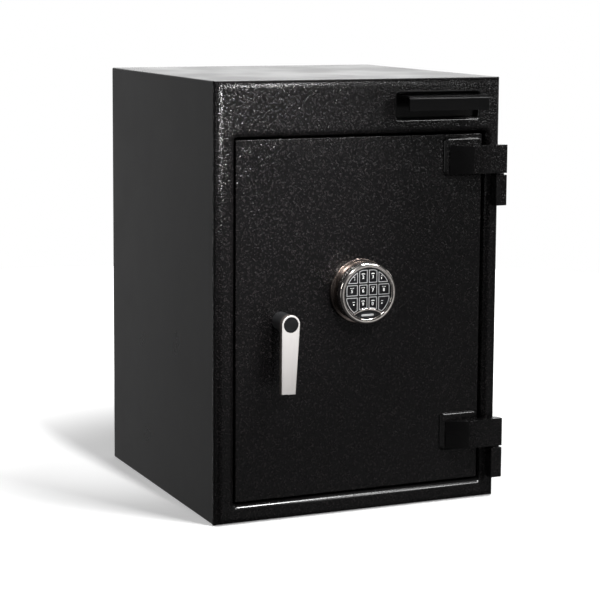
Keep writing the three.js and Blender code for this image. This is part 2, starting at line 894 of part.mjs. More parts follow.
function spindleBush() {
  const inner = spindleRadius + guideClearance;
  const outer = inner + bushWall;
  const flangeBack = lining + bushFlangeThickness;
  return turned([
    [inner, 0], [outer, 0], [outer, lining], [bushFlangeRadius, lining],
    [bushFlangeRadius, flangeBack], [inner, flangeBack], [inner, 0],
  ], roundFacets);
}

// Keypad, in a group whose origin is its centre in the door's front face

const bezelBack = bezelLength - keypadProud;
const faceFront = faceSetback - keypadProud;
const faceBack = faceFront + faceThickness;
const keyFront = faceFront - keyProud;
const baseRim = keyFront + keyThickness + keyTravel + keyToBoard;

function keypadBase() {
  const inner = baseRadius - baseWall;
  const floor = -seatGap - baseWall;
  const cup = turned([
    [0, -seatGap], [baseFootRadius, -seatGap], [baseFootRadius, -baseFootHeight],
    [baseRadius, -baseFootHeight], [baseRadius, baseRim], [inner, baseRim],
    [inner, floor], [0, floor],
  ]);
  return cut(cup, barY([0, 0], cableHoleRadius, floor - cutOverrun, cutOverrun));
}

function keypadBezel() {
  const front = -keypadProud;
  const skirt = baseRadius + seatGap;
  const shoulder = baseRim - seatGap;
  return turned([
    [skirt, bezelBack], [bezelRadius - bezelEdge / 2, bezelBack],
    [bezelRadius, bezelBack - bezelEdge / 2], [bezelRadius, front + 2 * bezelEdge],
    [bezelRadius - bezelEdge / 4, front + bezelEdge], [bezelRadius - bezelEdge, front],
    [bezelInnerRadius + bezelEdge, front], [bezelInnerRadius + bezelEdge / 4, front + bezelEdge],
    [bezelInnerRadius, front + 2 * bezelEdge], [bezelInnerRadius, shoulder],
    [skirt, shoulder], [skirt, bezelBack],
  ]);
}

const columnEdges = [-keyFieldRadius, -keyColumnEdge, 0, keyColumnEdge, keyFieldRadius];
const rowEdges = [keyFieldRadius, keyRowUpper, keyRowLower, -keyFieldRadius];

// A key is its cell of the grid, inside the key field and clear of the arch.
function keyCell(column, row, grow, y0, y1) {
  const inset = keyGap / 2 - grow;
  const cell = box(
    [columnEdges[column] + inset, y0, rowEdges[row + 1] + inset],
    [columnEdges[column + 1] - inset, y1, rowEdges[row] - inset],
  );
  const field = barY([0, 0], keyFieldRadius + grow, y0, y1, fineFacets);
  const arch = barY(
    [0, archCentre], archRadius + archWidth + archToKeys - grow,
    y0 - cutOverrun, y1 + cutOverrun, fineFacets,
  );
  return cell.intersect(field).subtract(arch);
}

// The window's lens shape is where two equal discs overlap.
function windowLens(grow, y0, y1) {
  const radius = (windowHalfWidth ** 2 + windowHalfHeight ** 2) / (2 * windowHalfHeight);
  const offset = radius - windowHalfHeight;
  const upper = barY([0, offset - windowDrop], radius + grow, y0, y1, fineFacets * 2);
  const lower = barY([0, -offset - windowDrop], radius + grow, y0, y1, fineFacets * 2);
  return upper.intersect(lower);
}

function eachKey(make) {
  const items = [];
  for (let row = 0; row < rowEdges.length - 1; row += 1) {
    for (let column = 0; column < columnEdges.length - 1; column += 1) {
      items.push(make(column, row, items.length + 1));
    }
  }
  return items;
}

function keypadFace() {
  const disc = barY([0, 0], bezelInnerRadius - seatGap, faceFront, faceBack, fineFacets);
  const front = faceFront - cutOverrun;
  const back = faceBack + cutOverrun;
  const holes = eachKey((column, row) => keyCell(column, row, keyClearance, front, back));
  return cut(disc, ...holes, windowLens(seatGap, front, back));
}

function keypadKeys() {
  return eachKey((column, row, number) => {
    const key = keyCell(column, row, 0, keyFront, keyFront + keyThickness);
    return mesh(`key_${String(number).padStart(2, '0')}`, key, blackPlastic);
  });
}

function keypadArch() {
  const front = faceFront - seatGap - archThickness;
  const back = faceFront - seatGap;
  const ring = cut(
    barY([0, archCentre], archRadius + archWidth, front, back, fineFacets * 2),
    barY([0, archCentre], archRadius, front - cutOverrun, back + cutOverrun, fineFacets * 2),
  );
  return ring.intersect(barY([0, 0], bezelInnerRadius - seatGap, front, back, fineFacets));
}

function keypadWindow() {
  return windowLens(0, faceFront - windowProud, faceBack);
}

function keypadBoard() {
  const radius = baseRadius - baseWall - seatGap;
  return barY([0, 0], radius, baseRim, baseRim + boardThickness, roundFacets);
}

function keypadBattery() {
  const back = -2 * seatGap - baseWall;
  const front = baseRim + boardThickness + batteryClearance;
  return box(
    [-batteryWidth / 2, front, -batteryDrop - batteryHeight / 2],
    [batteryWidth / 2, back, -batteryDrop + batteryHeight / 2],
  );
}

function keypadCable() {
  return barY([0, 0], cableRadius, baseRim + boardThickness + seatGap, lockFront - seatGap);
}

// The whole safe

const body = groupAt([0, 0, 0],
  mesh('body_shell', bodyShell(), sidePaint),
  mesh('back_plate', backPlate(), sidePaint),
  mesh('front_frame', frontFrame(), paint),
);

const deposit = groupAt(drawerOrigin,
  mesh('deposit_chute', depositChute(), zincSteel),
  mesh('drawer_tray', drawerTray(), zincSteel),
  mesh('drawer_pull', drawerPull(), sidePaint),
  mesh('drawer_stop', drawerStop(), zincSteel),
  mesh('stripper_flap', stripperFlap(), zincSteel),
  mesh('flap_pin', flapPin(), plainSteel),
);

const hinges = [['top', topStrapBase], ['bottom', bottomStrapBase]].map(
  ([place, height]) => groupAt([hingeX, hingeY, height],
    mesh(`hinge_strap_${place}`, hingeStrap(), paint),
    mesh(`hinge_knuckle_${place}`, hingeKnuckle(), paint),
    mesh(`hinge_pin_${place}`, hingePin(), plainSteel),
  ),
);

const leverGroup = groupAt([0, 0, 0],
  mesh('handle_lever', lever(), satinSteel),
  mesh('lever_cap', leverCap(), blackPlastic),
);
leverGroup.rotation.y = THREE.MathUtils.degToRad(leverLeanDegrees);

const handle = groupAt([handleFromLeft, 0, handleFromBottom],
  leverGroup,
  mesh('handle_hub', handleHub(), greyPlastic),
  mesh('spindle', spindle(), plainSteel),
  mesh('spindle_bush', spindleBush(), plainSteel),
  mesh('drive_cam', driveCam(), plainSteel),
);

const keypad = groupAt([keypadFromLeft, 0, keypadFromBottom],
  mesh('keypad_base', keypadBase(), chrome),
  mesh('keypad_bezel', keypadBezel(), chrome),
  mesh('keypad_face', keypadFace(), blackPlastic),
  mesh('keypad_arch', keypadArch(), chrome),
  mesh('keypad_window', keypadWindow(), blackPlastic),
  mesh('keypad_board', keypadBoard(), boardGreen),
  mesh('keypad_battery', keypadBattery(), greyPlastic),
  mesh('keypad_cable', keypadCable(), blackPlastic),
  ...keypadKeys(),
);

const boltwork = boltHeights.map((height, index) => mesh(
  `locking_bolt_${index + 1}`, lockingBolt(height), plainSteel,
));

const door = groupAt([doorLeft, doorFrontY, doorBottom],
  mesh('door_plate', doorPlate(), paint),
  mesh('door_cover', doorCover(), paint),
  mesh('bolt_guide', boltGuide(), plainSteel),
  mesh('dead_bar', deadBar(), plainSteel),
  mesh('hard_plate', hardPlate(), hardSteel),
  mesh('bolt_carriage', boltCarriage(), zincSteel),
  mesh('lock_case', lockCase(), zincSteel),
  mesh('lock_bolt', lockBolt(), plainSteel),
  ...boltwork,
  handle,
  keypad,
);

const safe = new THREE.Group();
safe.add(body, deposit, ...hinges, door);

export default safe;
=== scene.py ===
import json
import math

import bmesh
import bpy
from mathutils import Matrix, Vector

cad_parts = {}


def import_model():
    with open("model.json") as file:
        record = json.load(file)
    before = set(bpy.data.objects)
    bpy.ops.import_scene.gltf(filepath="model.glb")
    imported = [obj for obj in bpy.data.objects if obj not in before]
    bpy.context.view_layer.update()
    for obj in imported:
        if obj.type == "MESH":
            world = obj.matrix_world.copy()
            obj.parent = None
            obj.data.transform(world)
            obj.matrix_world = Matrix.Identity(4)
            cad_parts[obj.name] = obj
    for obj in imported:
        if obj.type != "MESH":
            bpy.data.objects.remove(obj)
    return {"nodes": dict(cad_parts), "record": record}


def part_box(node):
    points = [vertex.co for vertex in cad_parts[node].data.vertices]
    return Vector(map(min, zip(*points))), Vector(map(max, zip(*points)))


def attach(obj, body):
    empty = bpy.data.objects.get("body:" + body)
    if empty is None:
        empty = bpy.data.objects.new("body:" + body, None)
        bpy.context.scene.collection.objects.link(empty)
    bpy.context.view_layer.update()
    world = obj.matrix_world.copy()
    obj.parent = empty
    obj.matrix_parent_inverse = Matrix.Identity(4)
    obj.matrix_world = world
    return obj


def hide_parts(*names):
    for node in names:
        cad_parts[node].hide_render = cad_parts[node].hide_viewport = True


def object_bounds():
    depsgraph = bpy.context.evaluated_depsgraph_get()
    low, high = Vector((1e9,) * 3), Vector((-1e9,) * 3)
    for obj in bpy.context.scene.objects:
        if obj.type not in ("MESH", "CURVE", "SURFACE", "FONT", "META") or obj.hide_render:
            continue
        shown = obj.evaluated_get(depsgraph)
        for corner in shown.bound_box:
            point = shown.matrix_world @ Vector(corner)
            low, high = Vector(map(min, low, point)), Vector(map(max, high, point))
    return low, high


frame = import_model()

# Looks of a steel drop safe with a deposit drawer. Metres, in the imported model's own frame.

cadLow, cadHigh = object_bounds()
scene = bpy.context.scene
mm = 0.001
print('frame loaded:', len(frame['nodes']), 'nodes')


# Shader building

class Wire:  # a shader value that takes part in sums
    def __init__(self, shader, socket):
        self.shader = shader
        self.socket = socket

    def worked(self, operation, first, second):
        return self.shader.node('ShaderNodeMath', {'operation': operation}, {0: first, 1: second})

    def __add__(self, other):
        return self.worked('ADD', self, other)

    def __sub__(self, other):
        return self.worked('SUBTRACT', self, other)

    def __rsub__(self, other):
        return self.worked('SUBTRACT', other, self)

    def __mul__(self, other):
        return self.worked('MULTIPLY', self, other)

    def highest(self, other):
        return self.worked('MAXIMUM', self, other)

    __radd__ = __add__
    __rmul__ = __mul__


class Shader:  # the nodes of one material, or of the world
    def __init__(self, tree):
        self.tree = tree
        tree.nodes.clear()

    def node(self, kind, settings=None, inputs=None, output=0):
        made = self.tree.nodes.new(kind)
        for key, value in (settings or {}).items():
            setattr(made, key, value)
        for key, value in (inputs or {}).items():
            if isinstance(value, Wire):
                self.tree.links.new(value.socket, made.inputs[key])
            else:
                made.inputs[key].default_value = value
        return Wire(self, made.outputs[output]) if len(made.outputs) else made

    def place(self):
        return self.node('ShaderNodeTexCoord', output=3)

    def stretched(self, scale):
        return self.node('ShaderNodeMapping', None, {'Vector': self.place(), 'Scale': scale})

    def noise(self, size, detail=2.0, rough=0.5, at=None):
        inputs = {'Vector': at or self.place(), 'Scale': 1 / size, 'Detail': detail,
                  'Roughness': rough, 'W': 0.0}
        return self.node('ShaderNodeTexNoise', {'noise_dimensions': '4D'}, inputs)

    def cells(self, size, softness):
        inputs = {'Vector': self.place(), 'Scale': 1 / size, 'Smoothness': softness}
        return self.node('ShaderNodeTexVoronoi', {'feature': 'SMOOTH_F1'}, inputs)

    def between(self, value, low, high, start=0.0, end=1.0):
        inputs = {0: value, 1: low, 2: high, 3: start, 4: end}
        return self.node('ShaderNodeMapRange', {'interpolation_type': 'SMOOTHSTEP'}, inputs)

    def mixed(self, mask, first, second):
        settings = {'data_type': 'RGBA', 'clamp_factor': True}
        return self.node('ShaderNodeMix', settings, {0: mask, 6: first, 7: second}, output=2)

    def bump(self, height, depth, strength=1.0):
        inputs = {'Height': height, 'Distance': depth, 'Strength': strength}
        return self.node('ShaderNodeBump', None, inputs)

    def surface(self, inputs):
        made = self.node('ShaderNodeBsdfPrincipled', None, inputs)
        self.node('ShaderNodeOutputMaterial', None, {'Surface': made})


def newShader(name):
    material = bpy.data.materials.new(name)
    material.use_nodes = True
    return material, Shader(material.node_tree)


def grey(value):
    return (value, value, value, 1.0)


# Finishes

noiseSpan = (0.3, 0.7)  # most of a noise's values lie between these

# The paint's lighter colour on the grain's peaks is a painted glint: it stands in for light
# sparkling off the bumps.
texturedLook = {
    'dark': (0.0022, 0.0021, 0.0022, 1.0), 'paintedGlint': (0.0115, 0.0098, 0.0102, 1.0),
    'lump': 3.0 * mm, 'lumpSoftness': 0.4, 'lumpShare': 0.25, 'grain': 2.3 * mm,
    'peaks': (0.62, 0.88), 'depth': 0.9 * mm, 'rough': (0.10, 0.22), 'specular': 0.2,
}


def texturedPaint():
    look = texturedLook
    material, shader = newShader('texturedPaint')
    lumps = 1 - shader.cells(look['lump'], look['lumpSoftness'])
    grain = shader.noise(look['grain'], detail=1.0)
    height = lumps * look['lumpShare'] + grain
    shader.surface({
        # Painted glint: the grain's peaks take a lighter colour.
        'Base Color': shader.mixed(
            shader.between(height, *look['peaks']), look['dark'], look['paintedGlint']),
        'Roughness': shader.between(grain, *noiseSpan, *look['rough']),
        'Specular IOR Level': look['specular'],
        'Normal': shader.bump(height, look['depth']),
    })
    return material


satinLooks = {
    'satinPaint': {
        'colour': (0.0100, 0.0100, 0.0105, 1.0), 'worn': (0.0150, 0.0150, 0.0156, 1.0),
        'peel': 4.5 * mm, 'depth': 0.05 * mm, 'rough': (0.27, 0.36), 'specular': 0.42,
    },
    # A darker, smoother copy of the paint. It is painted shade on the hinge straps' bevels, which
    # look dark under this light.
    'bevelShadePaint': {
        'colour': (0.0024, 0.0023, 0.0024, 1.0), 'worn': (0.0034, 0.0033, 0.0034, 1.0),
        'peel': 5.0 * mm, 'depth': 0.04 * mm, 'rough': (0.22, 0.30), 'specular': 0.12,
    },
    # A glossier, lighter copy of the paint for rounded edges. Its lighter colour is a painted
    # highlight along the slot's mouth, the sill's roll and the hinge pads' rims.
    'edgeHighlightPaint': {
        'colour': (0.0045, 0.0043, 0.0044, 1.0), 'worn': (0.0080, 0.0078, 0.0079, 1.0),
        'peel': 4.0 * mm, 'depth': 0.10 * mm, 'rough': (0.16, 0.24), 'specular': 0.5,
    },
    # Darker than the body's satin paint. Part of this is the drawer's own black paint and part is
    # painted shade of the recess round the pull.
    'drawerPaintAndShade': {
        'colour': (0.0016, 0.0016, 0.0017, 1.0), 'worn': (0.0028, 0.0027, 0.0028, 1.0),
        'peel': 6.0 * mm, 'depth': 0.03 * mm, 'rough': (0.15, 0.22), 'specular': 0.16,
    },
}


satinGrain = {
    'drift': 140 * mm, 'wornSpan': (0.35, 0.75), 'fine': 0.8 * mm, 'fineShare': 0.2,
    'strength': 0.6,
}


def satin(name):
    look, grain = satinLooks[name], satinGrain
    material, shader = newShader(name)
    peel = shader.noise(look['peel'])
    drift = shader.noise(grain['drift'], detail=3.0, rough=0.55)
    fine = shader.noise(grain['fine'], detail=1.0)
    worn = shader.between(drift, *grain['wornSpan'])
    height = peel + fine * grain['fineShare']
    shader.surface({
        'Base Color': shader.mixed(worn, look['colour'], look['worn']),
        'Roughness': shader.between(drift, *noiseSpan, *look['rough']),
        'Specular IOR Level': look['specular'],
        'Normal': shader.bump(height, look['depth'], grain['strength']),
    })
    return material


steelLooks = {
    'zincSteel': {
        'colour': (0.50, 0.52, 0.55, 1.0), 'tone': (0.36, 0.37, 0.38, 1.0), 'patch': 14 * mm,
        'streak': (60.0, 60.0, 60.0), 'rough': (0.30, 0.48), 'depth': 0.03 * mm,
    },
    'plainSteel': {
        'colour': (0.46, 0.46, 0.47, 1.0), 'tone': (0.34, 0.33, 0.33, 1.0), 'patch': 30 * mm,
        'streak': (900.0, 900.0, 30.0), 'rough': (0.22, 0.38), 'depth': 0.02 * mm,
    },
    'hardSteel': {
        'colour': (0.10, 0.10, 0.11, 1.0), 'tone': (0.06, 0.055, 0.05, 1.0), 'patch': 22 * mm,
        'streak': (80.0, 80.0, 80.0), 'rough': (0.40, 0.60), 'depth': 0.06 * mm,
    },
    'keySilver': {
        'colour': (0.50, 0.50, 0.51, 1.0), 'tone': (0.42, 0.42, 0.42, 1.0), 'patch': 6 * mm,
        'streak': (400.0, 400.0, 400.0), 'rough': (0.34, 0.46), 'depth': 0.01 * mm,
        'metal': 0.5,
    },
    # A darker copy of the chrome. It is painted shade on the keypad's base, which reflects the
    # dark door round it.
    'shadedChrome': {
        'colour': (0.20, 0.17, 0.155, 1.0), 'tone': (0.12, 0.10, 0.09, 1.0), 'patch': 20 * mm,
        'streak': (60.0, 60.0, 60.0), 'rough': (0.20, 0.28), 'depth': 0.01 * mm,
    },
    # A darker copy of the lever's satin steel. It is painted shade on the lever's sides.
    'shadedSteel': {
        'colour': (0.13, 0.11, 0.10, 1.0), 'tone': (0.09, 0.075, 0.07, 1.0), 'patch': 30 * mm,
        'streak': (1600.0, 1600.0, 22.0), 'rough': (0.38, 0.48), 'depth': 0.012 * mm,
        'metal': 0.5,
    },
    'satinSteel': {
        'colour': (0.47, 0.45, 0.44, 1.0), 'tone': (0.43, 0.41, 0.40, 1.0), 'patch': 50 * mm,
        'streak': (1600.0, 1600.0, 22.0), 'rough': (0.42, 0.54), 'depth': 0.012 * mm,
        'metal': 0.35,
    },
}


steelGrain = {
    'patchShare': 0.6, 'streakShare': 0.4, 'toneSpan': (0.35, 0.65), 'strength': 0.5,
}


def steel(name):
    look, grain = steelLooks[name], steelGrain
    material, shader = newShader(name)
    streaks = shader.noise(1.0, rough=0.6, at=shader.stretched(look['streak']))
    patches = shader.noise(look['patch'], rough=0.55)
    both = patches * grain['patchShare'] + streaks * grain['streakShare']
    tone = shader.between(both, *grain['toneSpan'])
    shader.surface({
        'Base Color': shader.mixed(tone, look['colour'], look['tone']),
        'Metallic': look.get('metal', 1.0),
        'Roughness': shader.between(streaks, *noiseSpan, *look['rough']),
        'Normal': shader.bump(streaks, look['depth'], grain['strength']),
    })
    return material


chromeLook = {
    'colour': (0.74, 0.69, 0.66, 1.0), 'haze': (0.58, 0.54, 0.51, 1.0), 'rough': (0.10, 0.19),
    'patch': 9 * mm, 'hazeSpan': (0.4, 0.75), 'grain': 1.6 * mm, 'depth': 0.01 * mm,
    'strength': 0.3,
}


def chromePlate():
    look = chromeLook
    material, shader = newShader('chromePlate')
    haze = shader.between(shader.noise(look['patch'], detail=3.0, rough=0.55), *look['hazeSpan'])
    grain = shader.noise(look['grain'], detail=1.0)
    low, high = look['rough']
    shader.surface({
        'Base Color': shader.mixed(haze, look['colour'], look['haze']),
        'Metallic': 1.0,
        'Roughness': low + haze * (high - low),
        'Normal': shader.bump(grain, look['depth'], look['strength']),
    })
    return material


plasticLooks = {
    'blackPlastic': {
        'colour': (0.0045, 0.0045, 0.005, 1.0), 'tone': (0.007, 0.007, 0.0075, 1.0),
        'rough': (0.34, 0.48), 'depth': 0.02 * mm, 'specular': 0.15,
    },
    'keyPlastic': {
        'colour': (0.0045, 0.0045, 0.005, 1.0), 'tone': (0.007, 0.007, 0.008, 1.0),
        'rough': (0.12, 0.20), 'depth': 0.01 * mm, 'specular': 0.2,
    },
    'glossBlack': {
        'colour': (0.006, 0.006, 0.007, 1.0), 'tone': (0.010, 0.010, 0.012, 1.0),
        'rough': (0.05, 0.10), 'depth': 0.005 * mm, 'specular': 0.5,
    },
    'greyPlastic': {
        'colour': (0.015, 0.015, 0.016, 1.0), 'tone': (0.021, 0.021, 0.022, 1.0),
        'rough': (0.38, 0.52), 'depth': 0.03 * mm, 'specular': 0.3,
    },
    'boardGreen': {
        'colour': (0.02, 0.12, 0.05, 1.0), 'tone': (0.03, 0.15, 0.07, 1.0),
        'rough': (0.35, 0.50), 'depth': 0.02 * mm, 'specular': 0.5,
    },
    'markWhite': {
        'colour': (0.74, 0.74, 0.73, 1.0), 'tone': (0.62, 0.62, 0.62, 1.0),
        'rough': (0.40, 0.55), 'depth': 0.01 * mm, 'specular': 0.4,
    },
}


plasticGrain = {
    'fine': 0.5 * mm, 'broad': 12 * mm, 'toneSpan': (0.35, 0.7), 'strength': 0.5,
}


def plastic(name):
    look, grain = plasticLooks[name], plasticGrain
    material, shader = newShader(name)
    fine = shader.noise(grain['fine'], rough=0.6)
    tone = shader.between(shader.noise(grain['broad']), *grain['toneSpan'])
    shader.surface({
        'Base Color': shader.mixed(tone, look['colour'], look['tone']),
        'Roughness': shader.between(fine, *noiseSpan, *look['rough']),
        'Specular IOR Level': look['specular'],
        'Normal': shader.bump(fine, look['depth'], grain['strength']),
    })
    return material


finishes = {
    'textured_paint': texturedPaint(),
    'smooth_paint': satin('satinPaint'),
    'zinc_steel': steel('zincSteel'),
    'plain_steel': steel('plainSteel'),
    'hard_steel': steel('hardSteel'),
    'chrome': chromePlate(),
    'satin_steel': steel('satinSteel'),
    'black_plastic': plastic('blackPlastic'),
    'gloss_black': plastic('glossBlack'),
    'grey_plastic': plastic('greyPlastic'),
    'key_plastic': plastic('keyPlastic'),
    'circuit_board': plastic('boardGreen'),
}
markFinish = plastic('markWhite')
drawerShadeFinish = satin('drawerPaintAndShade')
bevelShadeFinish = satin('bevelShadePaint')
edgeHighlightFinish = satin('edgeHighlightPaint')
baseShadeFinish = steel('shadedChrome')
leverSideShadeFinish = steel('shadedSteel')
borderFinish = steel('keySilver')
print('finishes made:', len(finishes))


# Mesh building

overrun = 4 * mm  # how far a cutter runs past what it cuts
tiny = 1e-7  # points nearer than this are one


def objectFrom(bm, name='part'):
    mesh = bpy.data.meshes.new(name)
    bm.to_mesh(mesh)
    bm.free()
    item = bpy.data.objects.new(name, mesh)
    scene.collection.objects.link(item)
    return item


def lofted(rings, closed=False):
    # Quads between rings of equally many points, with both ends capped unless it closes on itself.
    bm = bmesh.new()
    made = [[bm.verts.new(point) for point in ring] for ring in rings]
    pairs = list(zip(made, made[1:])) + ([(made[-1], made[0])] if closed else [])
    for first, second in pairs:
        for i in range(len(first)):
            j = (i + 1) % len(first)
            bm.faces.new((first[i], first[j], second[j], second[i]))
    if not closed:
        bm.faces.new(made[0][::-1])
        bm.faces.new(made[-1])
    bmesh.ops.remove_doubles(bm, verts=bm.verts, dist=tiny)
    bmesh.ops.dissolve_degenerate(bm, edges=bm.edges, dist=tiny)
    bmesh.ops.recalc_face_normals(bm, faces=bm.faces)
    return objectFrom(bm)


def discard(item):
    mesh = item.data
    bpy.data.objects.remove(item)
    bpy.data.meshes.remove(mesh)


def settled(item):
    # The item's modifiers become part of its mesh.
    bpy.context.view_layer.update()
    shown = item.evaluated_get(bpy.context.evaluated_depsgraph_get())
    mesh = bpy.data.meshes.new_from_object(shown)
    old = item.data
    item.modifiers.clear()
    item.data = mesh
    bpy.data.meshes.remove(old)


def combined(item, operation, *tools):
    for tool in tools:
        step = item.modifiers.new('combine', 'BOOLEAN')
        step.operation = operation
        step.solver = 'EXACT'
        step.object = tool
    settled(item)
    for tool in tools:
        discard(tool)


def joinInto(item, other):
    bm = bmesh.new()
    bm.from_mesh(item.data)
    bm.from_mesh(other.data)
    discard(other)
    bm.to_mesh(item.data)
    bm.free()


def softened(item, width, steps=3, angle=35):
    step = item.modifiers.new('soften', 'BEVEL')
    step.width = width
    step.segments = steps
    step.limit_method = 'ANGLE'
    step.angle_limit = math.radians(angle)
    settled(item)


def piece(item, name, body, slot, stands=(), sharp=34, finish=None):
    item.name = name
    item.data.name = name
    item.data.materials.clear()
    item.data.materials.append(finish or finishes[slot])
    item.data.shade_smooth()
    item.data.set_sharp_from_angle(angle=math.radians(sharp))
    facing = item.modifiers.new('facing', 'WEIGHTED_NORMAL')
    facing.keep_sharp = True
    facing.weight = 100
    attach(item, body)
    if stands:
        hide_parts(*stands)


def refaced(item, finish, chosen):
    # A second finish on the faces for which chosen(normal, middle) holds.
    item.data.materials.append(finish)
    place = len(item.data.materials) - 1
    for face in item.data.polygons:
        if chosen(face.normal, face.center):
            face.material_index = place


def quarterRound(radius, steps=5):
    # Pairs of inset and depth along a convex quarter round.
    turns = [math.pi / 2 * k / steps for k in range(steps + 1)]
    return [(radius * (1 - math.sin(a)), radius * (1 - math.cos(a))) for a in turns]


def edgeLevels(front, radius, steps=5, side=1):
    # Levels of (inset, depth) back over a rounded front edge; side -1 rolls it the other way.
    return [(side * inset, front + depth) for inset, depth in quarterRound(radius, steps)]


def evenly(start, end, steps):
    return [start + (end - start) * k / steps for k in range(steps + 1)]


def fullTurn(steps):
    return [2 * math.pi * k / steps for k in range(steps)]


def arcPoints(x, y, radius, degrees):
    # Points round (x, y), one at each angle.
    turns = [math.radians(a) for a in degrees]
    return [(x + radius * math.cos(a), y + radius * math.sin(a)) for a in turns]


def roundedRectangle(x0, z0, x1, z1, radius, steps):
    radius = max(radius, 0.0)
    corners = [(x1 - radius, z0 + radius, -90), (x1 - radius, z1 - radius, 0),
               (x0 + radius, z1 - radius, 90), (x0 + radius, z0 + radius, 180)]
    points = []
    for x, z, start in corners:
        points += arcPoints(x, z, radius, evenly(start, start + 90, steps))
    return points


def roundedPlate(edges, corner, steps, levels):
    # Rounded rectangles seen from the front, one for each level of (inset, depth).
    x0, z0, x1, z1 = edges
    rings = []
    for inset, y in levels:
        outline = roundedRectangle(
            x0 + inset, z0 + inset, x1 - inset, z1 - inset, corner - inset, steps)
        rings.append([Vector((x, y, z)) for x, z in outline])
    return lofted(rings)


def turnedAbout(centre, profile, steps, closed=True):
    # A profile of (radius, y) turned about an axis that runs along Y through (x, z).
    x, z = centre
    return lofted([[Vector((x + radius * math.cos(a), y, z + radius * math.sin(a)))
                    for a in fullTurn(steps)] for radius, y in profile], closed)


def easedRim(radius, y, rim, share=0.3):
    # Three points of a turned profile, from its face round to its side.
    return [(radius - rim, y), (radius - rim * share, y + rim * share), (radius, y + rim)]


def extruded(outline, start, end):
    # An outline of points, pushed along the vector from start to end.
    return lofted([[point + start for point in outline], [point + end for point in outline]])


def raised(outline, z0, z1):
    # An outline of (x, y), raised from z0 to z1.
    return extruded([Vector((x, y, 0)) for x, y in outline],
                    Vector((0, 0, z0)), Vector((0, 0, z1)))


def block(low, high):
    ring = [(low.x, low.z), (high.x, low.z), (high.x, high.z), (low.x, high.z)]
    return extruded([Vector((x, 0, z)) for x, z in ring],
                    Vector((0, low.y, 0)), Vector((0, high.y, 0)))


def barAlongY(centre, radius, y0, y1, steps=48):
    return turnedAbout(centre, [(radius, y0), (radius, y1)], steps, closed=False)


def middleOf(low, high):
    # The middle of a box, seen from the front.
    return (low.x + high.x) / 2, (low.z + high.z) / 2


# Front frame

frameShape = {
    'edge': 13 * mm, 'plate': 15 * mm, 'roll': 11 * mm, 'corner': 5 * mm, 'jamb': 5 * mm,
    'gapLeft': 2 * mm, 'gapRight': 5 * mm, 'gapBottom': 4 * mm, 'gapTop': 3.5 * mm,
    'slotGap': 1.6 * mm, 'slotEdge': 4.5 * mm, 'slotCorner': 3 * mm, 'slotSteps': 5, 'steps': 10,
    'slack': 0.2 * mm, 'facingFront': 0.995, 'facingUp': 0.15,  # parts of a face's normal
}
doorLow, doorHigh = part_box('door_plate')
frameLow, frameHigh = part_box('front_frame')
pullLow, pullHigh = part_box('drawer_pull')


def frontFrame():
    shape = frameShape
    steps, wall, roll = shape['steps'], shape['jamb'], shape['roll']
    front = frameLow.y
    plateBack = front + shape['plate']
    levels = edgeLevels(front, shape['edge'], steps) + [(0.0, plateBack)]
    plate = roundedPlate((frameLow.x, frameLow.z, frameHigh.x, frameHigh.z), 0.0, 1, levels)
    opening = (doorLow.x - shape['gapLeft'], doorLow.z - shape['gapBottom'],
               doorHigh.x + shape['gapRight'], doorHigh.z + shape['gapTop'])
    slot = (pullLow.x - shape['slotGap'], pullLow.z - shape['slotGap'],
            pullHigh.x + shape['slotGap'], pullHigh.z + shape['slotGap'])
    jambs = block(
        Vector((opening[0] - wall, front + wall, opening[1] - wall)),
        Vector((opening[2] + wall, frameHigh.y, opening[3] + wall)))

    def cutter(edges, corner, radius, edgeSteps, back):
        # An opening whose front edge rolls inwards.
        levels = edgeLevels(front, radius, edgeSteps, side=-1)
        levels = [(levels[0][0], front - overrun)] + levels + [(0.0, back + overrun)]
        return roundedPlate(edges, corner, steps, levels)

    doorway = cutter(opening, shape['corner'], roll, steps, frameHigh.y)
    mouth = cutter(
        slot, shape['slotCorner'], shape['slotEdge'], shape['slotSteps'], plateBack)
    combined(plate, 'UNION', jambs)
    combined(plate, 'DIFFERENCE', doorway, mouth)
    piece(plate, 'frontFrame', 'cabinet', 'textured_paint', ['front_frame'], sharp=50)
    reach = shape['slotEdge'] + shape['slack']

    def aroundSlot(normal, middle):
        near = (slot[0] - reach < middle.x < slot[2] + reach
                and slot[1] - reach < middle.z < slot[3] + reach)
        return near and normal.y > -shape['facingFront'] and middle.y < front + reach

    def onSill(normal, middle):
        return (opening[1] - roll < middle.z < opening[1] and middle.y < front + roll
                and normal.z > shape['facingUp'])

    # Painted highlight: the slot's rounded mouth and the sill's roll take the lighter, glossier
    # edge paint.
    refaced(plate, edgeHighlightFinish, lambda normal, middle: (
        aroundSlot(normal, middle) or onSill(normal, middle)))


frontFrame()


# Shell and back

shellShape = {
    'wall': 5 * mm, 'bend': 2.5 * mm, 'steps': 6, 'hole': 7 * mm, 'holeInset': 110 * mm,
}


def bodyShell():
    shape = shellShape
    wall, bend, steps = shape['wall'], shape['bend'], shape['steps']
    low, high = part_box('body_shell')
    outside = (low.x, low.z, high.x, high.z)
    inside = (low.x + wall, low.z + wall, high.x - wall, high.z - wall)
    shell = roundedPlate(outside, bend, steps, [(0.0, low.y), (0.0, high.y)])
    hollow = roundedPlate(
        inside, bend / 2, steps, [(0.0, low.y - overrun), (0.0, high.y + overrun)])
    reach = cadHigh.y - shape['holeInset']
    holes = []
    for sideX, sideY in ((-1, -1), (1, -1), (-1, 1), (1, 1)):
        ring = arcPoints(sideX * reach, sideY * reach, shape['hole'], range(0, 360, 10))
        holes.append(raised(ring, -overrun, wall + overrun))
    combined(shell, 'DIFFERENCE', hollow, *holes)
    piece(shell, 'bodyShell', 'cabinet', 'smooth_paint', ['body_shell'])


backShape = {'edge': 2 * mm, 'corner': 2.5 * mm, 'steps': 6}


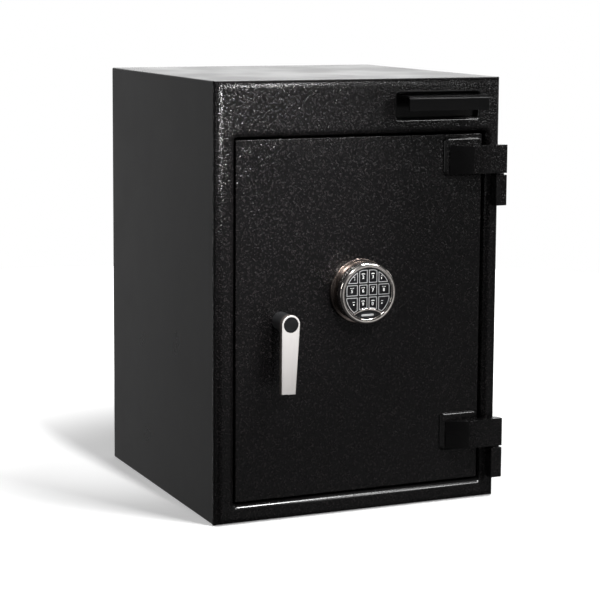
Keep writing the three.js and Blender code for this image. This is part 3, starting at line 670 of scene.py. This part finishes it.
def backPlate():
    shape = backShape
    low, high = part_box('back_plate')
    levels = [(0.0, low.y)]
    levels += [(inset, high.y - depth) for inset, depth in quarterRound(shape['edge'])[::-1]]
    plate = roundedPlate(
        (low.x, low.z, high.x, high.z), shape['corner'], shape['steps'], levels)
    piece(plate, 'backPlate', 'cabinet', 'smooth_paint', ['back_plate'])


bodyShell()
backPlate()
print('body done')


# Door

doorShape = {
    'edge': 1.4 * mm, 'corner': 1.5 * mm, 'steps': 4, 'spindleHole': 9.6 * mm, 'cableHole': 4 * mm,
}
hubLow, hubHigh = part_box('handle_hub')
handleAt = middleOf(hubLow, hubHigh)
keypadAt = middleOf(*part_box('keypad_bezel'))


def doorPlate():
    shape = doorShape
    levels = edgeLevels(doorLow.y, shape['edge']) + [(0.0, doorHigh.y)]
    plate = roundedPlate((doorLow.x, doorLow.z, doorHigh.x, doorHigh.z), shape['corner'],
                         shape['steps'], levels)
    holes = [
        barAlongY(handleAt, shape['spindleHole'], doorLow.y - overrun, doorHigh.y + overrun),
        barAlongY(keypadAt, shape['cableHole'], doorLow.y - overrun, doorHigh.y + overrun),
    ]
    combined(plate, 'DIFFERENCE', *holes)
    piece(plate, 'doorPlate', 'door', 'textured_paint', ['door_plate'])


doorPlate()


# Hinges

hingeShape = {
    'pinInset': 9.4 * mm, 'barrel': 8.6 * mm, 'faceLength': 62.7 * mm, 'bevelLength': 36.5 * mm,
    'tipThickness': 7 * mm, 'soften': 0.8 * mm, 'seat': 0.3 * mm,
    'pad': 5 * mm, 'padAbove': 13.5 * mm, 'padBelow': 4 * mm, 'padEdge': 5 * mm,
    'padCorner': 8 * mm, 'padInset': 2 * mm, 'padSteps': 8,
    'bossRound': 7.5 * mm, 'bossHeight': 2.4 * mm, 'bossSink': 1 * mm,
    'bore': 5.3 * mm, 'boreDepth': 40 * mm,
    'shadeFacing': (-0.7, -0.12), 'roundFacing': (-0.97, -0.1), 'level': 0.1,
}


def hingeStrap(place):
    shape = hingeShape
    low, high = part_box(f'hinge_strap_{place}')
    pinX, pinY = high.x - shape['pinInset'], low.y + shape['barrel']
    foot, head = low.z + shape['padBelow'], high.z - shape['padAbove']
    face = doorLow.y - shape['seat']
    step = doorHigh.x - shape['padInset']
    faceStart = high.x - shape['faceLength']
    tip, tipFront = faceStart - shape['bevelLength'], face - shape['tipThickness']
    plan = [(tip, face), (tip, tipFront), (faceStart, low.y), (high.x, low.y), (high.x, pinY)]
    plan += arcPoints(pinX, pinY, shape['barrel'], range(0, 91, 6))
    plan += [(step, pinY + shape['barrel']), (step, face)]
    strap = raised(plan, foot, head)
    softened(strap, shape['soften'])
    padFront, steps = face - shape['pad'], shape['padSteps']
    pad = roundedPlate((low.x, low.z, step, high.z), shape['padCorner'], steps,
                       edgeLevels(padFront, shape['padEdge'], steps) + [(0.0, face)])
    bore = raised(arcPoints(pinX, pinY, shape['bore'], range(0, 360, 12)),
                  foot - overrun, foot + shape['boreDepth'])
    combined(strap, 'UNION', pad)
    combined(strap, 'DIFFERENCE', bore)
    piece(strap, f'hingeStrap_{place}', 'door', 'textured_paint', [f'hinge_strap_{place}'],
          sharp=30)
    # Painted shade: the bevel's faces take the darker, smoother paint.
    shadeLow, shadeHigh = shape['shadeFacing']
    roundLow, roundHigh = shape['roundFacing']
    level, halfway = shape['level'], (foot + head) / 2
    refaced(strap, bevelShadeFinish, lambda normal, middle: (
        shadeLow < normal.x < shadeHigh and abs(normal.z) < level and middle.y < tipFront))
    # Painted highlight: the pad's upper and left rims take the lighter, glossier edge paint.
    refaced(strap, edgeHighlightFinish, lambda normal, middle: (
        middle.y > padFront and roundLow < normal.y < roundHigh
        and (normal.z > level or normal.x < -level and middle.z > halfway)))


def hingeKnuckle(place):
    shape = hingeShape
    low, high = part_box(f'hinge_knuckle_{place}')
    pinLow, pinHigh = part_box(f'hinge_pin_{place}')
    x, y = (pinLow.x + pinHigh.x) / 2, (pinLow.y + pinHigh.y) / 2
    top = high.z - shape['bossHeight']
    # Its back follows the frame's rounded edge.
    edge = frameShape['edge']
    edgeX, edgeY = frameHigh.x - edge, frameLow.y + edge
    fit = edge + shape['seat']
    plan = [(low.x, low.y), (high.x, low.y), (high.x, edgeY)]
    plan += arcPoints(edgeX, edgeY, fit, range(0, -91, -6))
    plan.append((low.x, edgeY - fit))
    knuckle = raised(plan, low.z, top)
    softened(knuckle, shape['soften'])
    turn = range(0, 360, 10)
    boss = raised(arcPoints(x, y, shape['bossRound'], turn), top - shape['bossSink'], high.z)
    bore = raised(arcPoints(x, y, shape['bore'], turn),
                  pinLow.z - shape['seat'], high.z + overrun)
    combined(knuckle, 'UNION', boss)
    combined(knuckle, 'DIFFERENCE', bore)
    piece(knuckle, f'hingeKnuckle_{place}', 'cabinet', 'textured_paint',
          [f'hinge_knuckle_{place}'], sharp=30)


for place in ('top', 'bottom'):
    hingeStrap(place)
    hingeKnuckle(place)
print('door and hinges done')


# Deposit drawer's pull

pullShape = {
    'sheet': 3 * mm, 'drop': 24 * mm, 'topGap': 0.8 * mm, 'bend': 5 * mm, 'width': 145.5 * mm,
    'soften': 0.5 * mm,
}


def drawerPull():
    shape = pullShape
    sheet, bend = shape['sheet'], shape['bend']
    front, back = pullLow.y, pullHigh.y
    top = pullHigh.z - shape['topGap']
    foot = top - shape['drop']
    wall = block(Vector((pullLow.x, back - sheet, pullLow.z)),
                 Vector((pullHigh.x, back, pullHigh.z)))
    softened(wall, shape['soften'])
    # The hook in section, as (y, z): up its front, over the bend and back to the wall.
    profile = [(front, foot)]
    profile += arcPoints(front + bend, top - bend, bend, range(180, 89, -9))
    profile += [(back - sheet / 2, top), (back - sheet / 2, top - sheet)]
    profile += arcPoints(front + bend, top - bend, bend - sheet, range(90, 181, 15))
    profile.append((front + sheet, foot))
    middle, half = (pullLow.x + pullHigh.x) / 2, shape['width'] / 2
    hook = extruded([Vector((0, y, z)) for y, z in profile],
                    Vector((middle - half, 0, 0)), Vector((middle + half, 0, 0)))
    softened(hook, shape['soften'])
    combined(wall, 'UNION', hook)
    # The pull and its wall take the darker paint, which holds painted shade of their recess.
    piece(wall, 'drawerPull', 'drawer', 'smooth_paint', ['drawer_pull'], sharp=30,
          finish=drawerShadeFinish)


drawerPull()


# Handle

leverShape = {
    'head': 15.5 * mm, 'length': 112 * mm, 'tip': 24 * mm, 'thick': 10 * mm, 'edge': 1.0 * mm,
    'lean': 1.8,  # degrees
    'cap': 12.4 * mm, 'capDepth': 1.5 * mm, 'capRim': 0.4 * mm, 'gap': 0.3 * mm,
    'hub': 14.8 * mm, 'hubRim': 0.6 * mm, 'hubSteps': 72, 'steps': 96, 'facingSide': 0.3,
}


def leverOutline(inset):
    shape = leverShape
    head, length, half = shape['head'], shape['length'], shape['tip'] / 2
    taper = math.atan2(head - half, length)
    radius = head - inset
    arc = evenly(-taper, math.pi + taper, shape['steps'] // 2)
    points = [(radius * math.cos(a), radius * math.sin(a)) for a in arc]
    points += [(-half + inset, inset - length), (half - inset, inset - length)]
    return points


def handle():
    shape = leverShape
    steps, gap = shape['steps'], shape['gap']
    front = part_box('handle_lever')[0].y
    back = front + shape['thick']
    levels = edgeLevels(front, shape['edge'])
    levels += [(inset, back - depth) for inset, depth in quarterRound(shape['edge'])[::-1]]
    lean = math.radians(shape['lean'])
    x, z = handleAt

    def leaned(points, y):
        # The lever leans a little, turned about the handle's axis.
        return [Vector((x + a * math.cos(lean) + b * math.sin(lean), y,
                        z - a * math.sin(lean) + b * math.cos(lean))) for a, b in points]

    lever = lofted([leaned(leverOutline(inset), y) for inset, y in levels])
    seat = barAlongY(handleAt, shape['cap'] + gap, front - overrun, front + shape['capDepth'],
                     steps)
    spindleLow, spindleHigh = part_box('spindle')
    bore = (spindleHigh.x - spindleLow.x) / 2 + gap
    socket = barAlongY(handleAt, bore, spindleLow.y - gap, back + overrun)
    combined(lever, 'DIFFERENCE', seat, socket)
    piece(lever, 'handleLever', 'handle', 'satin_steel', ['handle_lever'])
    # Painted shade: the lever's sides take a darker copy of its steel.
    refaced(lever, leverSideShadeFinish, lambda normal, middle: (
        abs(normal.y) < shape['facingSide'] and middle.y > front + shape['edge'] / 2))
    capLow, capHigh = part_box('lever_cap')
    profile = easedRim(shape['cap'], capLow.y, shape['capRim']) + [(shape['cap'], capHigh.y)]
    cap = turnedAbout(handleAt, profile, steps, closed=False)
    piece(cap, 'leverCap', 'handle', 'black_plastic', ['lever_cap'])
    radius, rim = shape['hub'], shape['hubRim']
    profile = easedRim(radius, hubLow.y, rim) + [(radius, hubHigh.y - rim)]
    profile += [(radius - rim, hubHigh.y), (bore, hubHigh.y), (bore, hubLow.y)]
    hub = turnedAbout(handleAt, profile, shape['hubSteps'])
    piece(hub, 'handleHub', 'handle', 'grey_plastic', ['handle_hub'], sharp=50)


handle()
print('drawer and handle done')


# Keypad

keypadShape = {
    'foot': 52.8 * mm, 'footHeight': 8 * mm, 'footEdge': 1.2 * mm, 'fillet': 0.5 * mm,
    'base': 47.8 * mm, 'wall': 2.5 * mm, 'cable': 4 * mm, 'gap': 0.3 * mm, 'steps': 128,
    'bezel': 50 * mm, 'bezelInner': 41.7 * mm, 'outerRound': 4.2 * mm, 'backRound': 0.8 * mm,
    'crest': 0.9 * mm, 'groove': (1.3 * mm, 0.7 * mm), 'lip': 1.6 * mm, 'lipDrop': 0.9 * mm,
}


def arcProfile(radius, y, size, start, end, steps=8):
    # Points on a round of the profile, centred at (radius, y).
    return arcPoints(radius, y, size, evenly(start, end, steps))


def keypadBase():
    shape = keypadShape
    low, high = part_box('keypad_base')
    rim, back = low.y, high.y
    foot, edge, fillet = shape['foot'], shape['footEdge'], shape['fillet']
    base, wall, cable = shape['base'], shape['wall'], shape['cable']
    footFront = back - shape['footHeight'] + shape['gap']
    profile = [(cable, back), (foot, back)]
    profile += arcProfile(foot - edge, footFront + edge, edge, 0, -90)
    profile += [(base + fillet, footFront), (base, footFront - fillet), (base, rim),
                (base - wall, rim), (base - wall, back - wall), (cable, back - wall)]
    turned = turnedAbout(keypadAt, profile, shape['steps'])
    # Painted shade: the base takes the darker copy of the chrome.
    piece(turned, 'keypadBase', 'door', 'chrome', ['keypad_base'], sharp=50, finish=baseShadeFinish)


def keypadBezel():
    shape = keypadShape
    low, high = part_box('keypad_bezel')
    front, back = low.y, high.y
    seat, inner, lip = shape['base'] + shape['gap'], shape['bezelInner'], shape['lip']
    outer, outerRound, backRound = shape['bezel'], shape['outerRound'], shape['backRound']
    grooveIn, grooveDrop = shape['groove']
    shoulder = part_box('keypad_base')[0].y - shape['gap']
    profile = [(seat, back), (outer - backRound, back)]
    profile += arcProfile(outer - backRound, back - backRound, backRound, 90, 0, 4)
    profile += arcProfile(outer - outerRound, front + outerRound, outerRound, 0, -90, 12)
    profile += [(outer - outerRound - shape['crest'], front),
                (outer - outerRound - grooveIn, front + grooveDrop)]
    profile += arcProfile(inner + lip, front + shape['lipDrop'] + lip, lip, -90, -180)
    profile += [(inner, shoulder), (seat, shoulder)]
    bezel = turnedAbout(keypadAt, profile, shape['steps'])
    piece(bezel, 'keypadBezel', 'door', 'chrome', ['keypad_bezel'], sharp=50)


keypadBase()
keypadBezel()

keyShape = {
    'columns': (-39.6, -17.3, 0.0, 17.3, 39.6), 'rows': (39.6, 15.7, -4.6, -39.6),  # in mm
    'gap': 2.6 * mm, 'field': 39.6 * mm, 'archDrop': 27.9 * mm, 'arch': 45 * mm,
    'archWidth': 3 * mm, 'archClear': 0.9 * mm, 'archSteps': 48, 'archSides': 16,
    'slack': 0.35 * mm, 'points': 96, 'farthest': 40 * mm, 'halvings': 26,
    'border': 1.15 * mm, 'inlay': 0.5 * mm, 'bevel': 0.25 * mm, 'bevelDrop': 0.3 * mm,
    'padDrop': 0.35 * mm, 'padGap': 0.05 * mm, 'dish': 1.0 * mm, 'dishSteps': 9,
    'dishShare': 0.6, 'markShare': 0.55,
    'markSize': 7.6 * mm, 'markRise': 0.18 * mm, 'markSink': 0.5 * mm, 'markDrop': 1.2 * mm,
    'bowRadius': 6.2 * mm, 'bowWidth': 0.9 * mm, 'bowTurns': range(58, 123, 8),
    'dot': 1.5 * mm, 'dotSteps': 24,
    'cutKeys': (1, 4, 9, 12), 'cutShare': 0.75, 'cutShift': (3.4 * mm, 1.8 * mm),
    'marks': ('1', '2', '3', '4', '5', '6', '7', '8', '', '9', '0', ''),
}
keyCells = [(column, row) for row in range(3) for column in range(4)]


def keyMiddle(column, row):
    x, z = middleOf(*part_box(f'key_{row * 4 + column + 1:02d}'))
    return x - keypadAt[0], z - keypadAt[1]


def keyOutline(column, row, inset):
    # A key's cell of the grid, cut by the round field and by the arch below.
    shape = keyShape
    x0 = shape['columns'][column] * mm + shape['gap'] / 2 + inset
    x1 = shape['columns'][column + 1] * mm - shape['gap'] / 2 - inset
    z1 = shape['rows'][row] * mm - shape['gap'] / 2 - inset
    z0 = shape['rows'][row + 1] * mm + shape['gap'] / 2 + inset
    field = shape['field'] - inset
    archRadius = shape['arch'] + shape['archWidth'] + shape['archClear'] + inset
    archCentre = -shape['archDrop'] - shape['arch']

    def within(a, b):
        # How far a point lies inside the cell; below zero is outside.
        return min(a - x0, x1 - a, b - z0, z1 - b, field - math.hypot(a, b),
                   math.hypot(a, b - archCentre) - archRadius)

    x, z = keyMiddle(column, row)
    points = []
    for a in fullTurn(shape['points']):
        # The cell's edge in this direction, found by halving.
        near, far = 0.0, shape['farthest']
        for _ in range(shape['halvings']):
            half = (near + far) / 2
            if within(x + half * math.cos(a), z + half * math.sin(a)) > 0:
                near = half
            else:
                far = half
        points.append((x + near * math.cos(a), z + near * math.sin(a)))
    return points


def atKeypad(points, y):
    return [Vector((keypadAt[0] + a, y, keypadAt[1] + b)) for a, b in points]


def key(column, row, number):
    shape = keyShape
    name = f'{number:02d}'
    low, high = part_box(f'key_{name}')
    front, back = low.y, high.y
    border, bevel = shape['border'], shape['bevel']
    seat, dishTop = front + shape['inlay'], front + shape['padDrop']
    middle = keyMiddle(column, row)

    def shrunk(points, share):
        return [(middle[0] + (a - middle[0]) * share, middle[1] + (b - middle[1]) * share)
                for a, b in points]

    # The silver outline is an inlay round the dished black middle.
    outer = keyOutline(column, row, 0.0)
    inner = keyOutline(column, row, border)
    ring = lofted([
        atKeypad(outer, seat), atKeypad(outer, front + shape['bevelDrop']),
        atKeypad(keyOutline(column, row, bevel), front),
        atKeypad(keyOutline(column, row, border - bevel), front),
        atKeypad(inner, dishTop), atKeypad(inner, seat),
    ], closed=True)
    piece(ring, f'keyBorder_{name}', f'key_{number}', 'satin_steel', sharp=40,
          finish=borderFinish)
    gap, steps = shape['padGap'], shape['dishSteps']
    pad = keyOutline(column, row, border + gap)
    rings = [atKeypad(outer, back), atKeypad(outer, seat + gap), atKeypad(pad, seat + gap),
             atKeypad(pad, dishTop)]
    for k in range(1, steps):
        share = 1 - k / steps
        sink = shape['dish'] * math.sin(math.pi / 2 * (1 - share)) * shape['dishShare']
        rings.append(atKeypad(shrunk(pad, share), dishTop + sink))
    piece(lofted(rings), f'keyPad_{name}', f'key_{number}', 'key_plastic', [f'key_{name}'],
          sharp=60)
    keyMark(shape['marks'][number - 1], middle, dishTop + shape['dish'] * shape['markShare'],
            number)


def keyMark(text, middle, y, number):
    shape = keyShape
    share = 1.0
    if number in shape['cutKeys']:
        # The round field cuts these keys, so their marks are smaller and nearer its middle.
        share = shape['cutShare']
        shift = shape['cutShift']
        middle = (middle[0] - math.copysign(shift[0], middle[0]),
                  middle[1] - math.copysign(shift[1], middle[1]))
    x, z = keypadAt[0] + middle[0], keypadAt[1] + middle[1] - shape['markDrop'] * share
    top, bottom = y - shape['markRise'], y + shape['markSink']
    if text:
        curve = bpy.data.curves.new('numeral', 'FONT')
        curve.body = text
        curve.size = shape['markSize'] * share
        curve.align_x = 'CENTER'
        curve.align_y = 'CENTER'
        curve.extrude = shape['markRise']
        holder = bpy.data.objects.new('numeral', curve)
        scene.collection.objects.link(holder)
        holder.matrix_world = Matrix.Translation((x, y, z)) @ Matrix.Rotation(math.pi / 2, 4, 'X')
        bpy.context.view_layer.update()
        mesh = bpy.data.meshes.new_from_object(
            holder.evaluated_get(bpy.context.evaluated_depsgraph_get()))
        mesh.transform(holder.matrix_world)
        bpy.data.objects.remove(holder)
        mark = bpy.data.objects.new('mark', mesh)
        scene.collection.objects.link(mark)
    else:
        # A white dot on the keys without numerals: a painted glint.
        mark = barAlongY((x, z), shape['dot'] * share, top, bottom, shape['dotSteps'])
    # A short bowed bar stands over each numeral. It is a white mark that is a painted highlight,
    # standing in for the bright reflection along each key's dish.
    radius, width, turns = shape['bowRadius'] * share, shape['bowWidth'] * share, shape['bowTurns']
    bow = arcPoints(x, z, radius, turns) + arcPoints(x, z, radius - width, turns[::-1])
    joinInto(mark, lofted([[Vector((a, depth, b)) for a, b in bow] for depth in (top, bottom)]))
    piece(mark, f'keyMark_{number:02d}', f'key_{number}', 'key_plastic', finish=markFinish)


for column, row in keyCells:
    key(column, row, row * 4 + column + 1)


windowShape = {
    'edge': 0.5 * mm, 'edgeShares': (0.5, 0.6), 'steps': 24,  # inset and depth of its edge
    'strip': (22 * mm, 3.4 * mm), 'stripRound': 0.4, 'stripSteps': 5,
    'stripLevels': ((0.2 * mm, -0.15 * mm), (0.0, 0.05 * mm), (0.0, 0.6 * mm)),
}


def lensOutline(grow):
    # Two equal arcs that meet at the window's ends.
    low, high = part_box('keypad_window')
    steps = windowShape['steps']
    halfWidth, halfHeight = (high.x - low.x) / 2, (high.z - low.z) / 2
    radius = (halfWidth ** 2 + halfHeight ** 2) / (2 * halfHeight)
    drop = radius - halfHeight
    centreZ = (low.z + high.z) / 2 - keypadAt[1]
    radius += grow
    reach = math.sqrt(radius ** 2 - drop ** 2)
    half = math.asin(reach / radius)
    turns = [half - 2 * half * k / steps for k in range(steps)]
    top = [(radius * math.sin(a), centreZ - drop + radius * math.cos(a)) for a in turns]
    return top + [(-a, 2 * centreZ - b) for a, b in top]


def lens(grow, y0, y1, edge=0.0):
    inset, depth = windowShape['edgeShares']
    rings = [atKeypad(lensOutline(grow), y1)]
    if edge:
        rings.append(atKeypad(lensOutline(grow), y0 + edge * depth))
    rings.append(atKeypad(lensOutline(grow - edge * inset), y0))
    return lofted(rings)


def arch(y0, y1):
    # A rounded bar that bows over the window, its ends against the bezel.
    shape = keyShape
    reach = keypadShape['bezelInner'] - keypadShape['gap']
    centre = -shape['archDrop'] - shape['arch']
    middle = shape['arch'] + shape['archWidth'] / 2
    cosine = (reach ** 2 - middle ** 2 - centre ** 2) / (2 * middle * centre)
    half = math.pi / 2 - math.asin(min(1.0, abs(cosine)))
    rings = []
    for a in evenly(half, -half, shape['archSteps']):
        ring = []
        for turn in fullTurn(shape['archSides']):
            radius = middle + shape['archWidth'] / 2 * math.cos(turn)
            y = (y0 + y1) / 2 + (y1 - y0) / 2 * math.sin(turn)
            ring.append(Vector((keypadAt[0] + radius * math.sin(a), y,
                                keypadAt[1] + centre + radius * math.cos(a))))
        rings.append(ring)
    return lofted(rings)


def keypadFront():
    gap, shape = keypadShape['gap'], windowShape
    low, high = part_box('keypad_face')
    cutFront, cutBack = low.y - overrun, high.y + overrun
    face = barAlongY(keypadAt, keypadShape['bezelInner'] - gap, low.y, high.y,
                     keypadShape['steps'])
    holes = []
    for column, row in keyCells:
        outline = keyOutline(column, row, -keyShape['slack'])
        holes.append(lofted([atKeypad(outline, cutFront), atKeypad(outline, cutBack)]))
    holes.append(lens(gap, cutFront, cutBack))
    combined(face, 'DIFFERENCE', *holes)
    piece(face, 'keypadFace', 'door', 'black_plastic', ['keypad_face'])
    windowLow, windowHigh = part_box('keypad_window')
    window = lens(0.0, windowLow.y, windowHigh.y, shape['edge'])
    piece(window, 'keypadWindow', 'door', 'gloss_black', ['keypad_window'])
    x, z = middleOf(windowLow, windowHigh)
    width, height = shape['strip']
    edges = (x - width / 2, z - height / 2, x + width / 2, z + height / 2)
    levels = [(inset, windowLow.y + depth) for inset, depth in shape['stripLevels']]
    strip = roundedPlate(edges, height * shape['stripRound'], shape['stripSteps'], levels)
    piece(strip, 'windowStrip', 'door', 'chrome', finish=borderFinish)
    archLow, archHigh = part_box('keypad_arch')
    piece(arch(archLow.y, archHigh.y), 'keypadArch', 'door', 'chrome', ['keypad_arch'], sharp=50)


keypadFront()
print('keypad done')


# Locking bolts

boltShape = {
    'chamfer': 2 * mm, 'noseFlat': 0.6 * mm, 'noseDrop': 0.2 * mm, 'noseSide': 0.3 * mm,
    'sideShare': 0.8, 'endShare': 1.3, 'tail': 5 * mm, 'clearance': 0.3 * mm, 'steps': 64,
}


def lockingBolt(number):
    shape = boltShape
    name = f'locking_bolt_{number}'
    low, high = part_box(name)
    y, z = (low.y + high.y) / 2, (low.z + high.z) / 2
    radius = (high.z - low.z) / 2
    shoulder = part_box('bolt_carriage')[0].x - shape['clearance']
    chamfer, tail = shape['chamfer'], shape['tail']
    profile = [(radius - chamfer - shape['noseFlat'], low.x),
               (radius - chamfer, low.x + shape['noseDrop']),
               (radius - shape['noseSide'], low.x + chamfer * shape['sideShare']),
               (radius, low.x + chamfer * shape['endShare']),
               (radius, shoulder), (tail, shoulder), (tail, high.x)]
    bolt = lofted([[Vector((x, y + size * math.cos(a), z + size * math.sin(a)))
                    for a in fullTurn(shape['steps'])] for size, x in profile])
    piece(bolt, f'lockingBolt_{number}', 'boltwork', 'plain_steel', [name])


for number in (1, 2, 3):
    lockingBolt(number)
print('boltwork done')


# CAD nodes that keep their own shape take a finish

slots = {row['node']: row['material_slot'] for row in frame['record']['subparts']}
for name, node in frame['nodes'].items():
    node.data.materials.clear()
    node.data.materials.append(finishes[slots[name]])


# Stage, lights and camera

stageLook = {
    'floorRadius': 2.6, 'floorSides': 96, 'floorDrop': 0.3 * mm, 'floorColour': 0.86,
    'tint': 0.4, 'tintDepth': 0.01,
    'nearGlow': 0.30, 'farGlow': 1.0, 'glowStart': 0.42, 'glowEnd': 0.86,
}


def floor():
    # Pale paper. It glows to the eye, more so further out, until it is as white as the studio.
    look = stageLook
    material, shader = newShader('floorPaper')
    pale = look['floorColour']
    colour = shader.mixed(shader.noise(look['tint']), grey(pale), grey(pale - look['tintDepth']))
    paper = shader.node('ShaderNodeBsdfDiffuse', None, {'Color': colour})
    outward = shader.node('ShaderNodeVectorMath', {'operation': 'LENGTH'},
                          {0: shader.place()}, output=1)
    rays = shader.node('ShaderNodeLightPath')
    seen = rays.highest(Wire(shader, rays.socket.node.outputs['Is Transmission Ray']))
    lit = shader.between(outward, look['glowStart'], look['glowEnd'],
                         look['nearGlow'], look['farGlow'])
    glow = shader.node('ShaderNodeEmission', None, {'Color': grey(1.0), 'Strength': seen * lit})
    both = shader.node('ShaderNodeAddShader', None, {0: paper, 1: glow})
    # Reflections look past the paper to the studio.
    clear = shader.node('ShaderNodeBsdfTransparent')
    shiny = Wire(shader, rays.socket.node.outputs['Is Glossy Ray'])
    whole = shader.node('ShaderNodeMixShader', None, {0: shiny, 1: both, 2: clear})
    shader.node('ShaderNodeOutputMaterial', None, {'Surface': whole})
    bm = bmesh.new()
    bmesh.ops.create_circle(
        bm, cap_ends=True, segments=look['floorSides'], radius=look['floorRadius'])
    disc = objectFrom(bm, 'floor')
    disc.location.z = -look['floorDrop']
    disc.data.materials.append(material)


studioLook = {
    'backWay': (0.40, 0.91, 0.0), 'back': (0.68, 0.96, 0.0, 1.25),
    'frontWay': (0.46, -0.83, -0.32), 'front': (0.92, 1.0, 0.0, 0.50),
    'leftWay': (-0.98, -0.15, -0.05), 'left': (0.95, 1.0, 0.0, 0.6),
    'all': 0.05, 'ambient': 0.30,
}


def world():
    # White to the eye all round. Shiny surfaces see a studio that is white at the back and
    # dim in front.
    look = studioLook
    space = bpy.data.worlds.new('studio')
    scene.world = space
    space.use_nodes = True
    shader = Shader(space.node_tree)
    way = shader.node('ShaderNodeTexCoord', output=0)

    def glow(side):
        along = shader.node('ShaderNodeVectorMath', {'operation': 'DOT_PRODUCT'},
                            {0: way, 1: look[side + 'Way']}, output=1)
        return shader.between(along, *look[side])

    studio = glow('back') + glow('front') + glow('left') + look['all']
    rays = shader.node('ShaderNodeLightPath')
    node = rays.socket.node
    shiny = Wire(shader, node.outputs['Is Glossy Ray']).highest(
        Wire(shader, node.outputs['Is Transmission Ray']))
    other = shiny * studio + (1 - shiny) * look['ambient']
    strength = rays + (1 - rays) * other
    back = shader.node('ShaderNodeBackground', None, {'Color': grey(1.0), 'Strength': strength})
    shader.node('ShaderNodeOutputWorld', None, {'Surface': back})


lamps = {
    'keyLight': {'from': (1.25, -2.3, 3.5), 'aim': (0, 0, 0.35), 'size': (0.8, 0.6),
                 'power': 135.0},
    'wideLight': {'from': (1.00, -1.60, 1.20), 'aim': (0, -0.25, 0.45), 'size': (0.36, 0.26),
                  'power': 8.0},
    'cornerLight': {'from': (-0.16, -1.34, 1.08), 'aim': (-0.21, -0.25, 0.54), 'beam': 32,
                    'radius': 0.05, 'power': 175.0},
    'stripLight': {'from': (-1.75, -0.52, 0.88), 'aim': (-0.2, -0.25, 0.58), 'size': (0.25, 0.5),
                   'power': 3.0},
    'rightLight': {'from': (1.75, -0.60, 0.95), 'aim': (0.15, -0.25, 0.62), 'size': (0.25, 0.4),
                   'power': 1.0},
    'backLight': {'from': (1.3, 3.4, 1.4), 'aim': (0, 0, 0.7), 'size': (2.6, 1.4), 'power': 6.0},
}


def lights():
    for name, lamp in lamps.items():
        if 'beam' in lamp:
            data = bpy.data.lights.new(name, 'SPOT')
            data.spot_size = math.radians(lamp['beam'])
            data.spot_blend = 1.0
            data.shadow_soft_size = lamp['radius']
        else:
            data = bpy.data.lights.new(name, 'AREA')
            data.shape = 'RECTANGLE'
            data.size, data.size_y = lamp['size']
        data.energy = lamp['power']
        holder = bpy.data.objects.new(name, data)
        scene.collection.objects.link(holder)
        holder.location = lamp['from']
        way = Vector(lamp['aim']) - Vector(lamp['from'])
        holder.rotation_euler = way.to_track_quat('-Z', 'Y').to_euler()
        holder.visible_camera = False


shot = {
    'place': (-1.36154, -3.07185, 0.86405), 'turn': (82.7579, -0.3665, -23.8982),
    'focal': 116.90, 'sensor': 36.0, 'shift': (0.0, -0.1167), 'clip': (0.05, 50),
}


def camera():
    data = bpy.data.cameras.new('camera')
    data.sensor_width = shot['sensor']
    data.lens = shot['focal']
    data.shift_x, data.shift_y = shot['shift']
    data.clip_start, data.clip_end = shot['clip']
    holder = bpy.data.objects.new('camera', data)
    scene.collection.objects.link(holder)
    holder.location = shot['place']
    holder.rotation_euler = [math.radians(a) for a in shot['turn']]
    scene.camera = holder


floor()
world()
lights()
camera()
scene.view_settings.view_transform = 'Standard'

print('scene ready')
